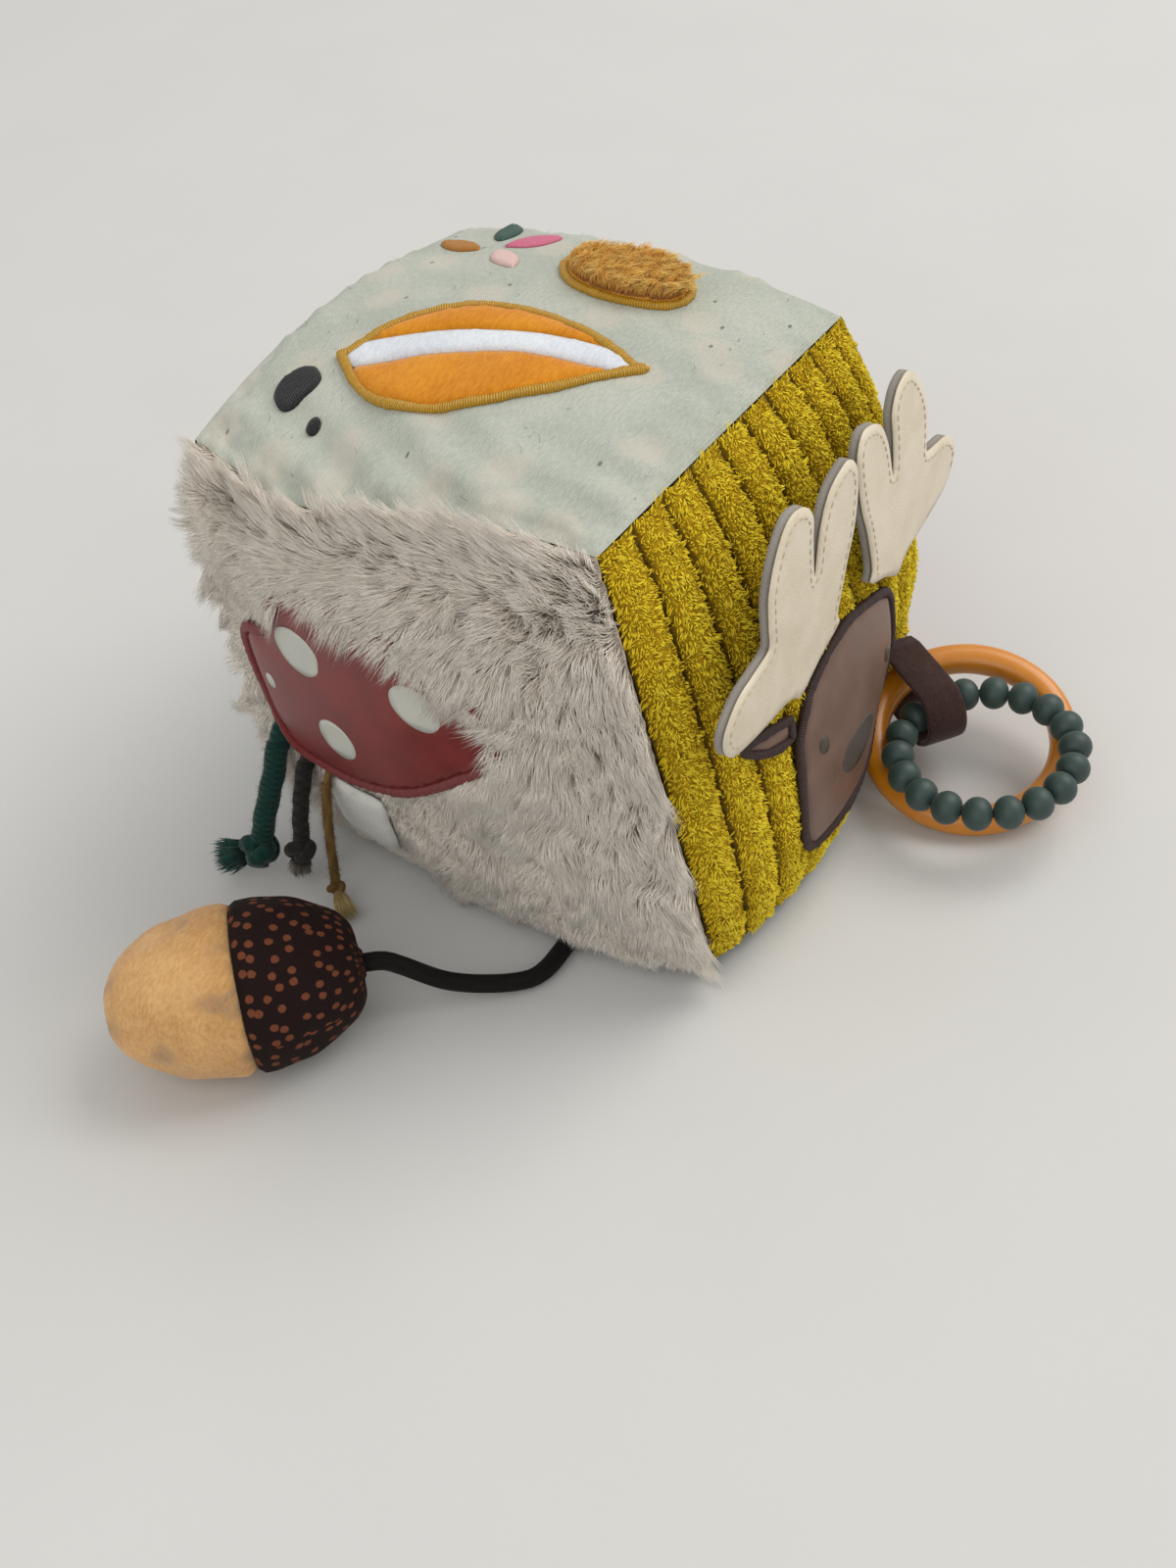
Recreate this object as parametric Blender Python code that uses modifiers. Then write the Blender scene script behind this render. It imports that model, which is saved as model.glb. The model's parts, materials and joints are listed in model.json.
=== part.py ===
"""Soft fabric activity block for a baby, in metres, +Z up.

The origin is the middle of the flat patch that the block rests on. +X is the ribbed plush side with the
animal's head, -Y is the long-pile side with the mushroom, +Z is the jersey top with the leaves.
The block is a stuffed cube of six sewn panels round one filling. Its shape is a rounded cube whose eight
seam corners are placed by hand, so every panel and every sewn patch takes its place from one function.
"""
import math

import bmesh
import bpy
import numpy as np
from mathutils import Matrix, Vector

# Stuffed cube: seam corners, lean and roundness
BASE_HALF = 0.0745
TOP_HALF = 0.0675
SEAM_LOW = 0.009
SEAM_HIGH = 0.1495
LEAN_X = -0.0205
LEAN_Y = -0.0110
ROUND_SHARE = 0.42
CLOTH_HALF = 0.086
FLOOR_SOFT = 0.002
FLOOR_CUT = 0.0005
SAG_TOP_FRONT = 0.011
PRESS_BY_RINGS = 0.0142
LIFT_BY_RINGS = 0.004

# Panels
PANEL_T = 0.0015
PILE_H = 0.0080
PILE_PRESSED = 0.0042
PILE_SLACK = 0.0006
EDGE_SHARE = 0.30
EDGE_REACH = 0.012
RIB_COUNT = 10
RIB_BASE = 0.0010
RIB_RISE = 0.0040
FIT_GAP = 0.0005
SEAM_GAP = 0.0010
CORE_GAP = 0.0014
CELLS_FINE = 16
CELLS_PLAIN = 8
CELLS_PER_RIB = 4

# Sewn patches
PATCH_T = 0.0012
BORDER_W = 0.0030
BORDER_T = 0.0022
JOIN_GAP = 0.0004
PATCH_CELL = 2 * CLOTH_HALF / CELLS_FINE

# Leaves and berries on the top
LEAF_LENGTH = 0.108
LEAF_WIDTH = 0.056
LEAF_BAND = 0.013
LEAF_AT = (-0.050, -0.034)
LEAF_TURN_DEG = 17.0
FLUFFY_LENGTH = 0.054
FLUFFY_WIDTH = 0.040
FLUFFY_T = 0.0035
FLUFFY_AT = (0.016, 0.048)
FLUFFY_TURN_DEG = -14.0
OVAL_LENGTH = 0.019
OVAL_WIDTH = 0.013
OVAL_AT = (-0.058, -0.050)
OVAL_TURN_DEG = 62.0
DOT_SIZE = 0.006
DOT_AT = (-0.042, -0.060)
SPRIG_LENGTH = 0.021
SPRIG_WIDTH = 0.010
SPRIG_AT = (-0.046, 0.054)

# Animal head on the ribbed side
HEAD_WIDTH = 0.080
HEAD_HEIGHT = 0.074
HEAD_ACROSS = -0.0005
HEAD_FROM_FOOT = 0.0590
HEAD_AT = (HEAD_ACROSS, HEAD_FROM_FOOT - CLOTH_HALF)
EAR_LENGTH = 0.027
EAR_WIDTH = 0.0125
EAR_ACROSS = -0.0485
EAR_ABOVE_HEAD = 0.0240
EAR_AT = (EAR_ACROSS, HEAD_AT[1] + EAR_ABOVE_HEAD)
EAR_TURN_DEG = -15.0
ANTLER_WIDTH = 0.080
ANTLER_HEIGHT = 0.066
ANTLER_SKIN_T = 0.0012
ANTLER_FELT_T = 0.0022
ANTLER_MIDDLE_Y = -0.0022
ANTLER_SPREAD = 0.0212
ANTLER_ABOVE_HEAD = -0.00115
ANTLER_LEAN_LEFT_DEG = 0.5
ANTLER_LEAN_RIGHT_DEG = 3.3
ANTLER_ROLL_DEG = -2.0
ANTLER_YAW_LEFT_DEG = 1.0
ANTLER_YAW_RIGHT_DEG = 5.0

# Mushroom on the long-pile side
CAP_WIDTH = 0.110
CAP_HEIGHT = 0.094
CAP_AT = (-0.0175, 0.0090)
STEM_WIDTH = 0.038
STEM_HEIGHT = 0.038
STEM_ACROSS = -0.0442
STEM_BELOW_CAP = 0.0037
STEM_AT = (STEM_ACROSS, CAP_AT[1] - (CAP_HEIGHT + STEM_HEIGHT) / 2 - STEM_BELOW_CAP)
PRESS_REACH = 0.016

# Knotted cords under the mushroom cap
GREEN_R = 0.0036
BLACK_R = 0.0026
TAN_R = 0.0015
CORD_SINK = 0.0008
KNOT_SQUASH_SHARE = 0.80
TASSEL_SPREAD_SHARE = 0.75

# Rings on their fabric loop
AMBER_R = 0.0306
AMBER_TUBE = 0.0047
AMBER_FROM_LOOP = (0.03625, -0.01564)
AMBER_LEAN_SHARES = (0.1616, -0.2924)
BEAD_RING_R = 0.0277
BEAD_R = 0.0054
BEAD_NECK_SHARE = 0.70
BEAD_COUNT = 18
BEADS_FROM_LOOP = (0.04685, -0.02744)
BEADS_ABOVE_AMBER = 0.0077
BEADS_LEAN_SHARES = (-0.0419, -0.0680)
RING_GAP = 0.00074
RING_ROOM = 0.012
LOOP_WIDTH = 0.014
LOOP_T = 0.0016
LOOP_CLEAR = 0.0027
LOOP_SLACK = 0.0020
LOOP_FOOT = 0.0070
LOOP_HEADING_DEG = -36.0
LOOP_FROM_SEAM = 0.0150
LOOP_FROM_FOOT = 0.0160
LOOP_AT = (CLOTH_HALF - LOOP_FROM_SEAM, LOOP_FROM_FOOT - CLOTH_HALF)
RING_PRESS_FROM_SEAM = 0.0360
RING_PRESS_FROM_FOOT = 0.0200
RING_PRESS_AT = (CLOTH_HALF - RING_PRESS_FROM_SEAM, RING_PRESS_FROM_FOOT - CLOTH_HALF)
RING_PRESS_REACH = 0.030
RIB_PRESSED_SHARE = 0.25

# Acorn on its cord
ACORN_R = 0.0240
ACORN_CAP_L = 0.0335
ACORN_NUT_L = 0.0385
ACORN_TURN_DEG = 224.6
ACORN_CORD_R = 0.0029
ACORN_CORD_GAP = 0.0008
ACORN_TIP_R = 0.0040
FLOOR_GAP = 0.0002

# Cube faces: right, up and outward directions of each sewn panel
FACES = {
    "front": ((1, 0, 0), (0, 0, 1), (0, -1, 0)),
    "right": ((0, 1, 0), (0, 0, 1), (1, 0, 0)),
    "back": ((-1, 0, 0), (0, 0, 1), (0, 1, 0)),
    "left": ((0, -1, 0), (0, 0, 1), (-1, 0, 0)),
    "top": ((1, 0, 0), (0, 1, 0), (0, 0, 1)),
    "bottom": ((1, 0, 0), (0, -1, 0), (0, 0, -1)),
}

# Colours, roughness and metallic of each material
FINISHES = {
    "filling": ((0.86, 0.86, 0.84), 0.95, 0.0),
    "sage_jersey": ((0.55, 0.60, 0.56), 0.92, 0.0),
    "cream_fur": ((0.62, 0.57, 0.52), 0.95, 0.0),
    "mustard_plush": ((0.50, 0.37, 0.02), 0.95, 0.0),
    "red_velour": ((0.38, 0.045, 0.03), 0.90, 0.0),
    "green_velour": ((0.05, 0.13, 0.11), 0.90, 0.0),
    "orange_velour": ((0.68, 0.26, 0.012), 0.85, 0.0),
    "white_plush": ((0.72, 0.76, 0.80), 0.92, 0.0),
    "gold_satin": ((0.50, 0.27, 0.01), 0.45, 0.0),
    "ochre_fur": ((0.72, 0.40, 0.08), 0.93, 0.0),
    "black_satin": ((0.01, 0.01, 0.016), 0.50, 0.0),
    "pink_satin": ((0.70, 0.16, 0.26), 0.50, 0.0),
    "pale_pink_satin": ((0.80, 0.55, 0.50), 0.55, 0.0),
    "brown_satin": ((0.42, 0.17, 0.02), 0.50, 0.0),
    "leaf_green_satin": ((0.03, 0.10, 0.08), 0.50, 0.0),
    "brown_leatherette": ((0.16, 0.10, 0.08), 0.50, 0.0),
    "dark_brown_satin": ((0.035, 0.015, 0.015), 0.50, 0.0),
    "cream_leatherette": ((0.76, 0.67, 0.53), 0.55, 0.0),
    "grey_felt": ((0.30, 0.28, 0.26), 0.95, 0.0),
    "red_leatherette": ((0.25, 0.05, 0.05), 0.40, 0.0),
    "red_satin": ((0.19, 0.015, 0.018), 0.45, 0.0),
    "white_cloth": ((0.68, 0.68, 0.65), 0.85, 0.0),
    "green_cord": ((0.008, 0.05, 0.042), 0.90, 0.0),
    "black_cord": ((0.012, 0.012, 0.012), 0.90, 0.0),
    "grey_fray": ((0.20, 0.18, 0.16), 0.95, 0.0),
    "tan_cord": ((0.17, 0.10, 0.03), 0.85, 0.0),
    "brown_webbing": ((0.045, 0.022, 0.020), 0.90, 0.0),
    "amber_silicone": ((0.58, 0.24, 0.02), 0.35, 0.0),
    "teal_silicone": ((0.03, 0.065, 0.062), 0.50, 0.0),
    "dark_cord": ((0.012, 0.008, 0.007), 0.90, 0.0),
    "beige_velour": ((0.60, 0.36, 0.15), 0.90, 0.0),
    "spotted_cloth": ((0.03, 0.010, 0.008), 0.85, 0.0),
}

# Outlines drawn by hand, as shares of half the width and half the height of their piece
HEAD_SHARES = (
    (-0.94, -0.92), (-1.01, -0.70), (-0.98, -0.35), (-0.94, 0.03), (-0.88, 0.38), (-0.74, 0.60), (-0.59, 0.78),
    (-0.26, 0.93), (0.14, 1.00), (0.50, 0.93), (0.81, 0.82), (0.95, 0.66), (0.97, 0.27), (0.94, -0.24),
    (0.96, -0.70), (0.90, -0.94), (0.60, -1.00), (0.0, -1.02), (-0.60, -1.00),
)
EAR_SHARES = (
    (0.93, -0.72), (0.35, -0.95), (-0.35, -0.72), (-0.85, -0.20), (-1.00, 0.25), (-0.70, 0.55),
    (-0.10, 0.72), (0.50, 0.80), (0.93, 0.72), (1.00, 0.0),
)
CAP_SHARES = (
    (1.00, 0.10), (0.92, -0.16), (0.62, -0.44), (0.14, -0.80), (-0.36, -0.97), (-0.76, -0.95), (-0.93, -0.74),
    (-0.98, -0.40), (-1.00, 0.02), (-0.91, 0.23), (-0.72, 0.33), (-0.62, 0.52), (-0.46, 0.82), (-0.22, 0.99),
    (0.06, 0.95), (0.40, 0.76), (0.72, 0.52), (0.94, 0.30),
)
STEM_SHARES = (
    (-0.36, 0.94), (0.26, 0.99), (0.86, 0.96), (0.78, 0.36), (0.68, -0.16), (0.46, -0.64), (0.20, -0.95),
    (-0.34, -0.99), (-0.88, -0.97), (-0.84, -0.50), (-0.70, 0.06), (-0.52, 0.56),
)
FLUFFY_SHARES = (
    (-1.00, 0.05), (-0.86, -0.52), (-0.45, -0.92), (0.05, -0.98), (0.55, -0.80), (0.93, -0.38), (1.00, 0.15),
    (0.80, 0.66), (0.30, 0.98), (-0.25, 0.88), (-0.62, 0.62),
)
ROUND_OVAL_SHARES = (
    (-1.00, 0.0), (-0.90, -0.62), (-0.50, -0.97), (0.0, -1.00), (0.50, -0.97), (0.90, -0.62), (1.00, 0.0),
    (0.90, 0.62), (0.50, 0.97), (0.0, 1.00), (-0.50, 0.97), (-0.90, 0.62),
)
PETAL_SHARES = (
    (-1.00, 0.0), (-0.70, -0.55), (-0.20, -0.95), (0.35, -0.88), (0.80, -0.45), (1.00, 0.0), (0.80, 0.45),
    (0.35, 0.88), (-0.20, 0.95), (-0.70, 0.55),
)
# The antler's outline from the inner end of its base, up over three lobes and back, as shares of its width
# and height, measured from the middle of the base
ANTLER_SHARES = (
    (-0.140, 0.105), (-0.125, 0.170), (-0.175, 0.380), (-0.222, 0.520), (-0.248, 0.670), (-0.246, 0.800),
    (-0.195, 0.878), (-0.115, 0.870), (-0.030, 0.815), (0.030, 0.690), (0.060, 0.540), (0.072, 0.500),
    (0.082, 0.560), (0.085, 0.690), (0.085, 0.800), (0.145, 0.885), (0.250, 0.900), (0.340, 0.805),
    (0.402, 0.660), (0.408, 0.520), (0.402, 0.420), (0.430, 0.392), (0.515, 0.372), (0.630, 0.340),
    (0.715, 0.250), (0.722, 0.160), (0.660, 0.070), (0.525, 0.030), (0.360, 0.010), (0.250, 0.000),
    (0.185, -0.030), (0.140, -0.060), (0.0, 0.030),
)
ANTLER_FOOT_SHARE = 0.075
# Places on the leaf where its half width is set, as shares of its length and of half its width
LEAF_WIDTH_SHARES = (
    (0.00, 0.00), (0.08, 0.42), (0.20, 0.76), (0.34, 0.96), (0.48, 1.00), (0.62, 0.90), (0.76, 0.68),
    (0.88, 0.38), (0.96, 0.14), (1.00, 0.00),
)
BAND_BOW_SHARE = 0.10

# Petals of the sprig: place along and across in petal lengths, and turn in degrees
SPRIG_SHARES = {
    "sprig_petal_brown": (-0.72, -0.10, 168.0),
    "sprig_petal_pink": (0.52, 0.38, 48.0),
    "sprig_petal_pale": (0.58, -0.52, -38.0),
    "sprig_leaf_green": (-0.36, 0.78, 112.0),
}

# Routes of the cords, in metres from their first point
GREEN_ROUTE = ((0, 0, 0), (0.0005, -0.0052, -0.0090), (0, -0.0110, -0.0190), (-0.0008, -0.0145, -0.0275))
BLACK_ROUTE = ((0, 0, 0), (0.0004, -0.0046, -0.0085), (0.0010, -0.0082, -0.0165), (0.0016, -0.0102, -0.0225))
TAN_ROUTE = ((0, 0, 0), (0.0012, -0.0036, -0.0110), (0.0030, -0.0068, -0.0215), (0.0044, -0.0092, -0.0320))
# The acorn's cord: its heights are shares of the rise to the acorn's axis
ACORN_ROUTE = (
    (0, 0, 0), (0.0004, -0.0070, 0), (0.0004, -0.0150, 0), (-0.0020, -0.0220, 0.02), (-0.0100, -0.0300, 0.10),
    (-0.0195, -0.0385, 0.32), (-0.0285, -0.0462, 0.76), (-0.0318, -0.0501, 0.96), (-0.0361, -0.0543, 1.00),
)
CORDS_BELOW_CAP = 0.0040
GREEN_ABOVE = 0.0045
CORDS_V = CAP_AT[1] - CAP_HEIGHT / 2 - CORDS_BELOW_CAP
GREEN_AT = (-0.0725, CORDS_V + GREEN_ABOVE)
BLACK_AT = (-0.0625, CORDS_V)
TAN_AT = (-0.0500, CORDS_V)
ACORN_CORD_AT = 0.0330


def cube_to_round(points: np.ndarray) -> np.ndarray:
    """Turn points on a cube of half side 1 into points on a cube with bulging faces.

    Args:
        points: (n, 3) points on the surface of the cube.

    Returns:
        The same points, blended towards the unit sphere and scaled so that the corners stay in place.
    """
    x, y, z = points.T
    sphere = np.stack([
        x * np.sqrt(np.maximum(1 - y * y / 2 - z * z / 2 + y * y * z * z / 3, 0)),
        y * np.sqrt(np.maximum(1 - z * z / 2 - x * x / 2 + z * z * x * x / 3, 0)),
        z * np.sqrt(np.maximum(1 - x * x / 2 - y * y / 2 + x * x * y * y / 3, 0)),
    ], axis=1)
    corner = (1 - ROUND_SHARE) + ROUND_SHARE / math.sqrt(3)
    return ((1 - ROUND_SHARE) * points + ROUND_SHARE * sphere) / corner


def seam_corners() -> dict:
    """Return the eight seam corners of the cube, keyed by the signs of their cube corner."""
    corners = {}
    for sx in (-1, 1):
        for sy in (-1, 1):
            corners[(sx, sy, -1)] = np.array([sx * BASE_HALF, sy * BASE_HALF, SEAM_LOW])
            corners[(sx, sy, 1)] = np.array([sx * TOP_HALF + LEAN_X, sy * TOP_HALF + LEAN_Y, SEAM_HIGH])
    return corners


# Soft dents: place on the cube, reach in cube halves, and shift
DENTS = (
    ((-0.35, -1.0, 1.0), 0.55, (0.0, -0.45 * SAG_TOP_FRONT, -SAG_TOP_FRONT)),
    ((1.0, 0.62, -0.82), 0.50, (-PRESS_BY_RINGS, 0.0, LIFT_BY_RINGS)),
)
BLOCK_MIDDLE = np.array([LEAN_X / 2, LEAN_Y / 2, (SEAM_LOW + SEAM_HIGH) / 2])


def block_points(points: np.ndarray) -> np.ndarray:
    """Place points of the unit cube's surface on the cloth of the stuffed block.

    The rounded cube is stretched to the eight seam corners, each weighted by how near the point is to it,
    then dented where it sags or is pressed, and flattened where it meets the floor.
    """
    rounded = cube_to_round(points)
    placed = np.zeros_like(rounded)
    for signs, corner in seam_corners().items():
        weight = np.prod(1 + rounded * np.array(signs), axis=1) / 8
        placed += weight[:, None] * corner
    for place, reach, shift in DENTS:
        away = np.sum((points - np.array(place)) ** 2, axis=1)
        placed += np.exp(-away / reach ** 2)[:, None] * np.array(shift)
    z = placed[:, 2]
    soft = (z + np.sqrt(z * z + FLOOR_SOFT ** 2)) / 2
    placed[:, 2] = np.maximum(soft - FLOOR_CUT, 0)
    return placed


def cloth(face: str, u, v, height=0.0, share=0.0) -> np.ndarray:
    """Return points on or near one panel of the block.

    Args:
        face: name of the panel.
        u: distances to the right of the panel's middle, along the cloth.
        v: distances up from the panel's middle, along the cloth.
        height: distance out of the cloth, along its normal.
        share: depth into the block, as a share of the way to its middle.

    Returns:
        (n, 3) points in metres.
    """
    right, up, out = (np.array(axis, float) for axis in FACES[face])
    a = np.atleast_1d(np.asarray(u, float)) / CLOTH_HALF
    b = np.atleast_1d(np.asarray(v, float)) / CLOTH_HALF

    def at(s, t):
        return block_points(out + s[:, None] * right + t[:, None] * up)

    step = 0.01
    base = at(a, b)
    raised = np.broadcast_to(np.asarray(height, float), a.shape)
    if np.any(raised):
        normal = np.cross(at(a + step, b) - at(a - step, b), at(a, b + step) - at(a, b - step))
        normal /= np.linalg.norm(normal, axis=1)[:, None]
        base = base + normal * raised[:, None]
    return base + (BLOCK_MIDDLE - base) * np.broadcast_to(share, a.shape)[:, None]


def edge_fade(u: np.ndarray, v: np.ndarray) -> np.ndarray:
    """Return 1 over a panel's middle, falling to a small share at its seams."""
    fade = 1.0
    for t in (u, v):
        fade = fade * (1 - (1 - EDGE_SHARE) * np.exp(-((CLOTH_HALF - np.abs(t)) / EDGE_REACH) ** 2))
    return fade


def pressed_share(u: np.ndarray, v: np.ndarray) -> np.ndarray:
    """Return 1 under the mushroom, where its stitches press the pile, and 0 well outside it."""
    cap_u = (u - CAP_AT[0]) / (CAP_WIDTH / 2)
    cap_v = (v - CAP_AT[1]) / (CAP_HEIGHT / 2)
    stem_u = (u - STEM_AT[0]) / (STEM_WIDTH / 2)
    stem_v = (v - STEM_AT[1]) / (STEM_HEIGHT / 2)
    cap_out = (np.hypot(cap_u, cap_v) - 1.10) * CAP_HEIGHT / 2
    stem_out = (np.maximum(np.abs(stem_u), np.abs(stem_v)) - 1.10) * STEM_WIDTH / 2
    out = np.minimum(cap_out, stem_out)
    t = np.clip(out / PRESS_REACH, 0, 1)
    return 1 - t * t * (3 - 2 * t)


def cover(face: str, u: np.ndarray, v: np.ndarray) -> np.ndarray:
    """Return how far a panel's pile or ribs stand above its cloth."""
    if face == "front":
        pile = PILE_H - (PILE_H - PILE_PRESSED) * pressed_share(u, v)
        return pile * edge_fade(u, v)
    if face == "right":
        pitch = 2 * CLOTH_HALF / RIB_COUNT
        wave = np.abs(np.sin(np.pi * (u + CLOTH_HALF) / pitch))
        away = ((u - RING_PRESS_AT[0]) ** 2 + (v - RING_PRESS_AT[1]) ** 2) / RING_PRESS_REACH ** 2
        kept = 1 - (1 - RIB_PRESSED_SHARE) * np.exp(-away * away)
        return (RIB_BASE + RIB_RISE * wave ** 0.6) * edge_fade(u, v) * kept
    return np.zeros_like(u)


def seat(face: str, u: np.ndarray, v: np.ndarray) -> np.ndarray:
    """Return the height of the surface that a patch is sewn down on."""
    if face == "right":
        return np.full_like(u, RIB_BASE + RIB_RISE)
    if face == "front":
        return cover(face, u, v) + PILE_SLACK
    return np.zeros_like(u)


def add_material(name: str) -> bpy.types.Material:
    """Return the named material, made once from its colour, roughness and metallic value."""
    if name in bpy.data.materials:
        return bpy.data.materials[name]
    colour, roughness, metallic = FINISHES[name]
    material = bpy.data.materials.new(name)
    material.use_nodes = True
    shader = material.node_tree.nodes["Principled BSDF"]
    shader.inputs["Base Color"].default_value = (*colour, 1.0)
    shader.inputs["Roughness"].default_value = roughness
    shader.inputs["Metallic"].default_value = metallic
    return material


def add_object(name: str, data, finish: str, at=(0, 0, 0), turn: Matrix | None = None):
    """Link mesh or curve data into the part's collection, with its material, at a place."""
    obj = bpy.data.objects.new(name, data)
    data.materials.append(add_material(finish))
    bpy.data.collections["fabric_block"].objects.link(obj)
    frame = turn.to_4x4() if turn is not None else Matrix.Identity(4)
    obj.matrix_world = Matrix.Translation(Vector(at)) @ frame
    return obj


def finish_mesh(bm: bmesh.types.BMesh, name: str) -> bpy.types.Mesh:
    """Triangulate a closed mesh, turn its faces outwards and store it."""
    bmesh.ops.triangulate(bm, faces=bm.faces[:])
    bmesh.ops.recalc_face_normals(bm, faces=bm.faces[:])
    mesh = bpy.data.meshes.new(name)
    bm.to_mesh(mesh)
    bm.free()
    mesh.shade_smooth()
    mesh.set_sharp_from_angle(angle=math.radians(40))
    return mesh


def cut_on_lines(bm: bmesh.types.BMesh, us, vs) -> None:
    """Cut a flat slab along lines of constant u and v, so that its faces are the cells between them."""
    for axis, lines in ((0, us), (1, vs)):
        normal = Vector((1, 0, 0)) if axis == 0 else Vector((0, 1, 0))
        for line in lines:
            geometry = bm.verts[:] + bm.edges[:] + bm.faces[:]
            bmesh.ops.bisect_plane(bm, geom=geometry, dist=1e-7, plane_co=normal * line, plane_no=normal)


def bend_onto_cloth(bm: bmesh.types.BMesh, face: str, low, high) -> None:
    """Move a slab with z from 0 to 1 onto a panel, with its two sides at the heights low and high.

    Args:
        bm: the slab, in cloth distances along x and y.
        face: the panel.
        low: function of u and v that gives the height and inward share of the under side.
        high: the same for the upper side.
    """
    co = np.array([v.co[:] for v in bm.verts])
    upper = co[:, 2] > 0.5
    placed = np.empty_like(co)
    for mask, side in ((upper, high), (~upper, low)):
        u, v = co[mask, 0], co[mask, 1]
        height, share = side(u, v)
        placed[mask] = cloth(face, u, v, height, share)
    for vert, point in zip(bm.verts, placed):
        vert.co = point


def add_panel(name: str, face: str, finish: str, columns: int, rows: int) -> None:
    """Add one sewn panel: a square slab cut into cells, its pile or ribs outside and its backing inside."""
    half = CLOTH_HALF - SEAM_GAP / 2
    bm = bmesh.new()
    bmesh.ops.create_cube(bm, size=1.0)
    for vert in bm.verts:
        vert.co = Vector((vert.co.x * 2 * half, vert.co.y * 2 * half, vert.co.z + 0.5))
    us = [CLOTH_HALF * (2 * i / columns - 1) for i in range(1, columns)]
    vs = [CLOTH_HALF * (2 * i / rows - 1) for i in range(1, rows)]
    cut_on_lines(bm, us, vs)
    inner = PANEL_T / BASE_HALF

    def outside(u, v):
        return cover(face, u, v), np.zeros_like(u)

    def inside(u, v):
        return np.zeros_like(u), np.full_like(u, inner)

    bend_onto_cloth(bm, face, inside, outside)
    add_object(name, finish_mesh(bm, name), finish)


def smooth_loop(points, per_span: int = 2) -> list:
    """Return points of a closed smooth curve through the given ones (Catmull-Rom spans)."""
    p = np.array(points, float)
    count = len(p)
    out = []
    for i in range(count):
        a, b, c, d = p[i - 1], p[i], p[(i + 1) % count], p[(i + 2) % count]
        for k in range(per_span):
            t = k / per_span
            out.append(0.5 * ((2 * b) + (c - a) * t + (2 * a - 5 * b + 4 * c - d) * t ** 2
                              + (3 * b - a - 3 * c + d) * t ** 3))
    return out


def smooth_route(points, spans: int) -> list:
    """Return points of an open smooth curve through the given ones, about evenly spaced."""
    p = [np.array(point, float) for point in points]
    ends = [2 * p[0] - p[1]] + p + [2 * p[-1] - p[-2]]
    fine = []
    for i in range(1, len(ends) - 2):
        a, b, c, d = ends[i - 1:i + 3]
        for k in range(16):
            t = k / 16
            fine.append(0.5 * ((2 * b) + (c - a) * t + (2 * a - 5 * b + 4 * c - d) * t ** 2
                               + (3 * b - a - 3 * c + d) * t ** 3))
    fine.append(p[-1])
    fine = np.array(fine)
    run = np.concatenate([[0], np.cumsum(np.linalg.norm(np.diff(fine, axis=0), axis=1))])
    even = np.linspace(0, run[-1], spans + 1)
    return [np.array([np.interp(s, run, fine[:, k]) for k in range(3)]) for s in even]


def inset(loop, distance: float) -> list:
    """Move each point of a closed outline inwards by a distance, along the outline's normal.

    Points that end up nearer to the outline than that distance, as round a sharp corner, are left out.
    """
    p = np.array(loop)
    along = np.roll(p, -1, 0) - np.roll(p, 1, 0)
    along /= np.linalg.norm(along, axis=1)[:, None]
    area = np.sum(p[:, 0] * np.roll(p[:, 1], -1) - np.roll(p[:, 0], -1) * p[:, 1])
    inward = np.stack([-along[:, 1], along[:, 0]], 1) * (1 if area > 0 else -1)
    moved = p + inward * distance
    side = np.roll(p, -1, 0) - p
    away = moved[:, None, :] - p[None, :, :]
    run = np.clip(np.sum(away * side, axis=2) / np.sum(side * side, axis=1), 0, 1)
    least = np.linalg.norm(away - run[:, :, None] * side, axis=2).min(axis=1)
    return list(moved[least > abs(distance) * 0.97])


def outline(shares, width: float, height: float, at=(0, 0), turn_deg: float = 0.0, per_span: int = 2) -> list:
    """Scale an outline of shares to a piece's size, turn it and put it in its place on the cloth."""
    cos, sin = math.cos(math.radians(turn_deg)), math.sin(math.radians(turn_deg))
    points = []
    for a, b in shares:
        x, y = a * width / 2, b * height / 2
        points.append((at[0] + x * cos - y * sin, at[1] + x * sin + y * cos))
    return smooth_loop(points, per_span)


def flat_slab(loops, thickness: float, name: str) -> bpy.types.Mesh:
    """Return the mesh of a flat outline, with any holes, from z = 0 to the thickness."""
    curve = bpy.data.curves.new(name, "CURVE")
    curve.dimensions = "2D"
    curve.fill_mode = "BOTH"
    curve.extrude = thickness / 2
    for loop in loops:
        spline = curve.splines.new("POLY")
        spline.points.add(len(loop) - 1)
        for point, place in zip(spline.points, loop):
            point.co = (place[0], place[1], 0, 1)
        spline.use_cyclic_u = True
    holder = bpy.data.objects.new(name, curve)
    bpy.context.scene.collection.objects.link(holder)
    bpy.context.view_layer.update()
    evaluated = holder.evaluated_get(bpy.context.evaluated_depsgraph_get())
    mesh = bpy.data.meshes.new_from_object(evaluated)
    bpy.data.objects.remove(holder)
    bpy.data.curves.remove(curve)
    bm = bmesh.new()
    bm.from_mesh(mesh)
    bmesh.ops.remove_doubles(bm, verts=bm.verts[:], dist=1e-6)
    for vert in bm.verts:
        vert.co.z += thickness / 2
    bm.to_mesh(mesh)
    bm.free()
    return mesh


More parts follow.
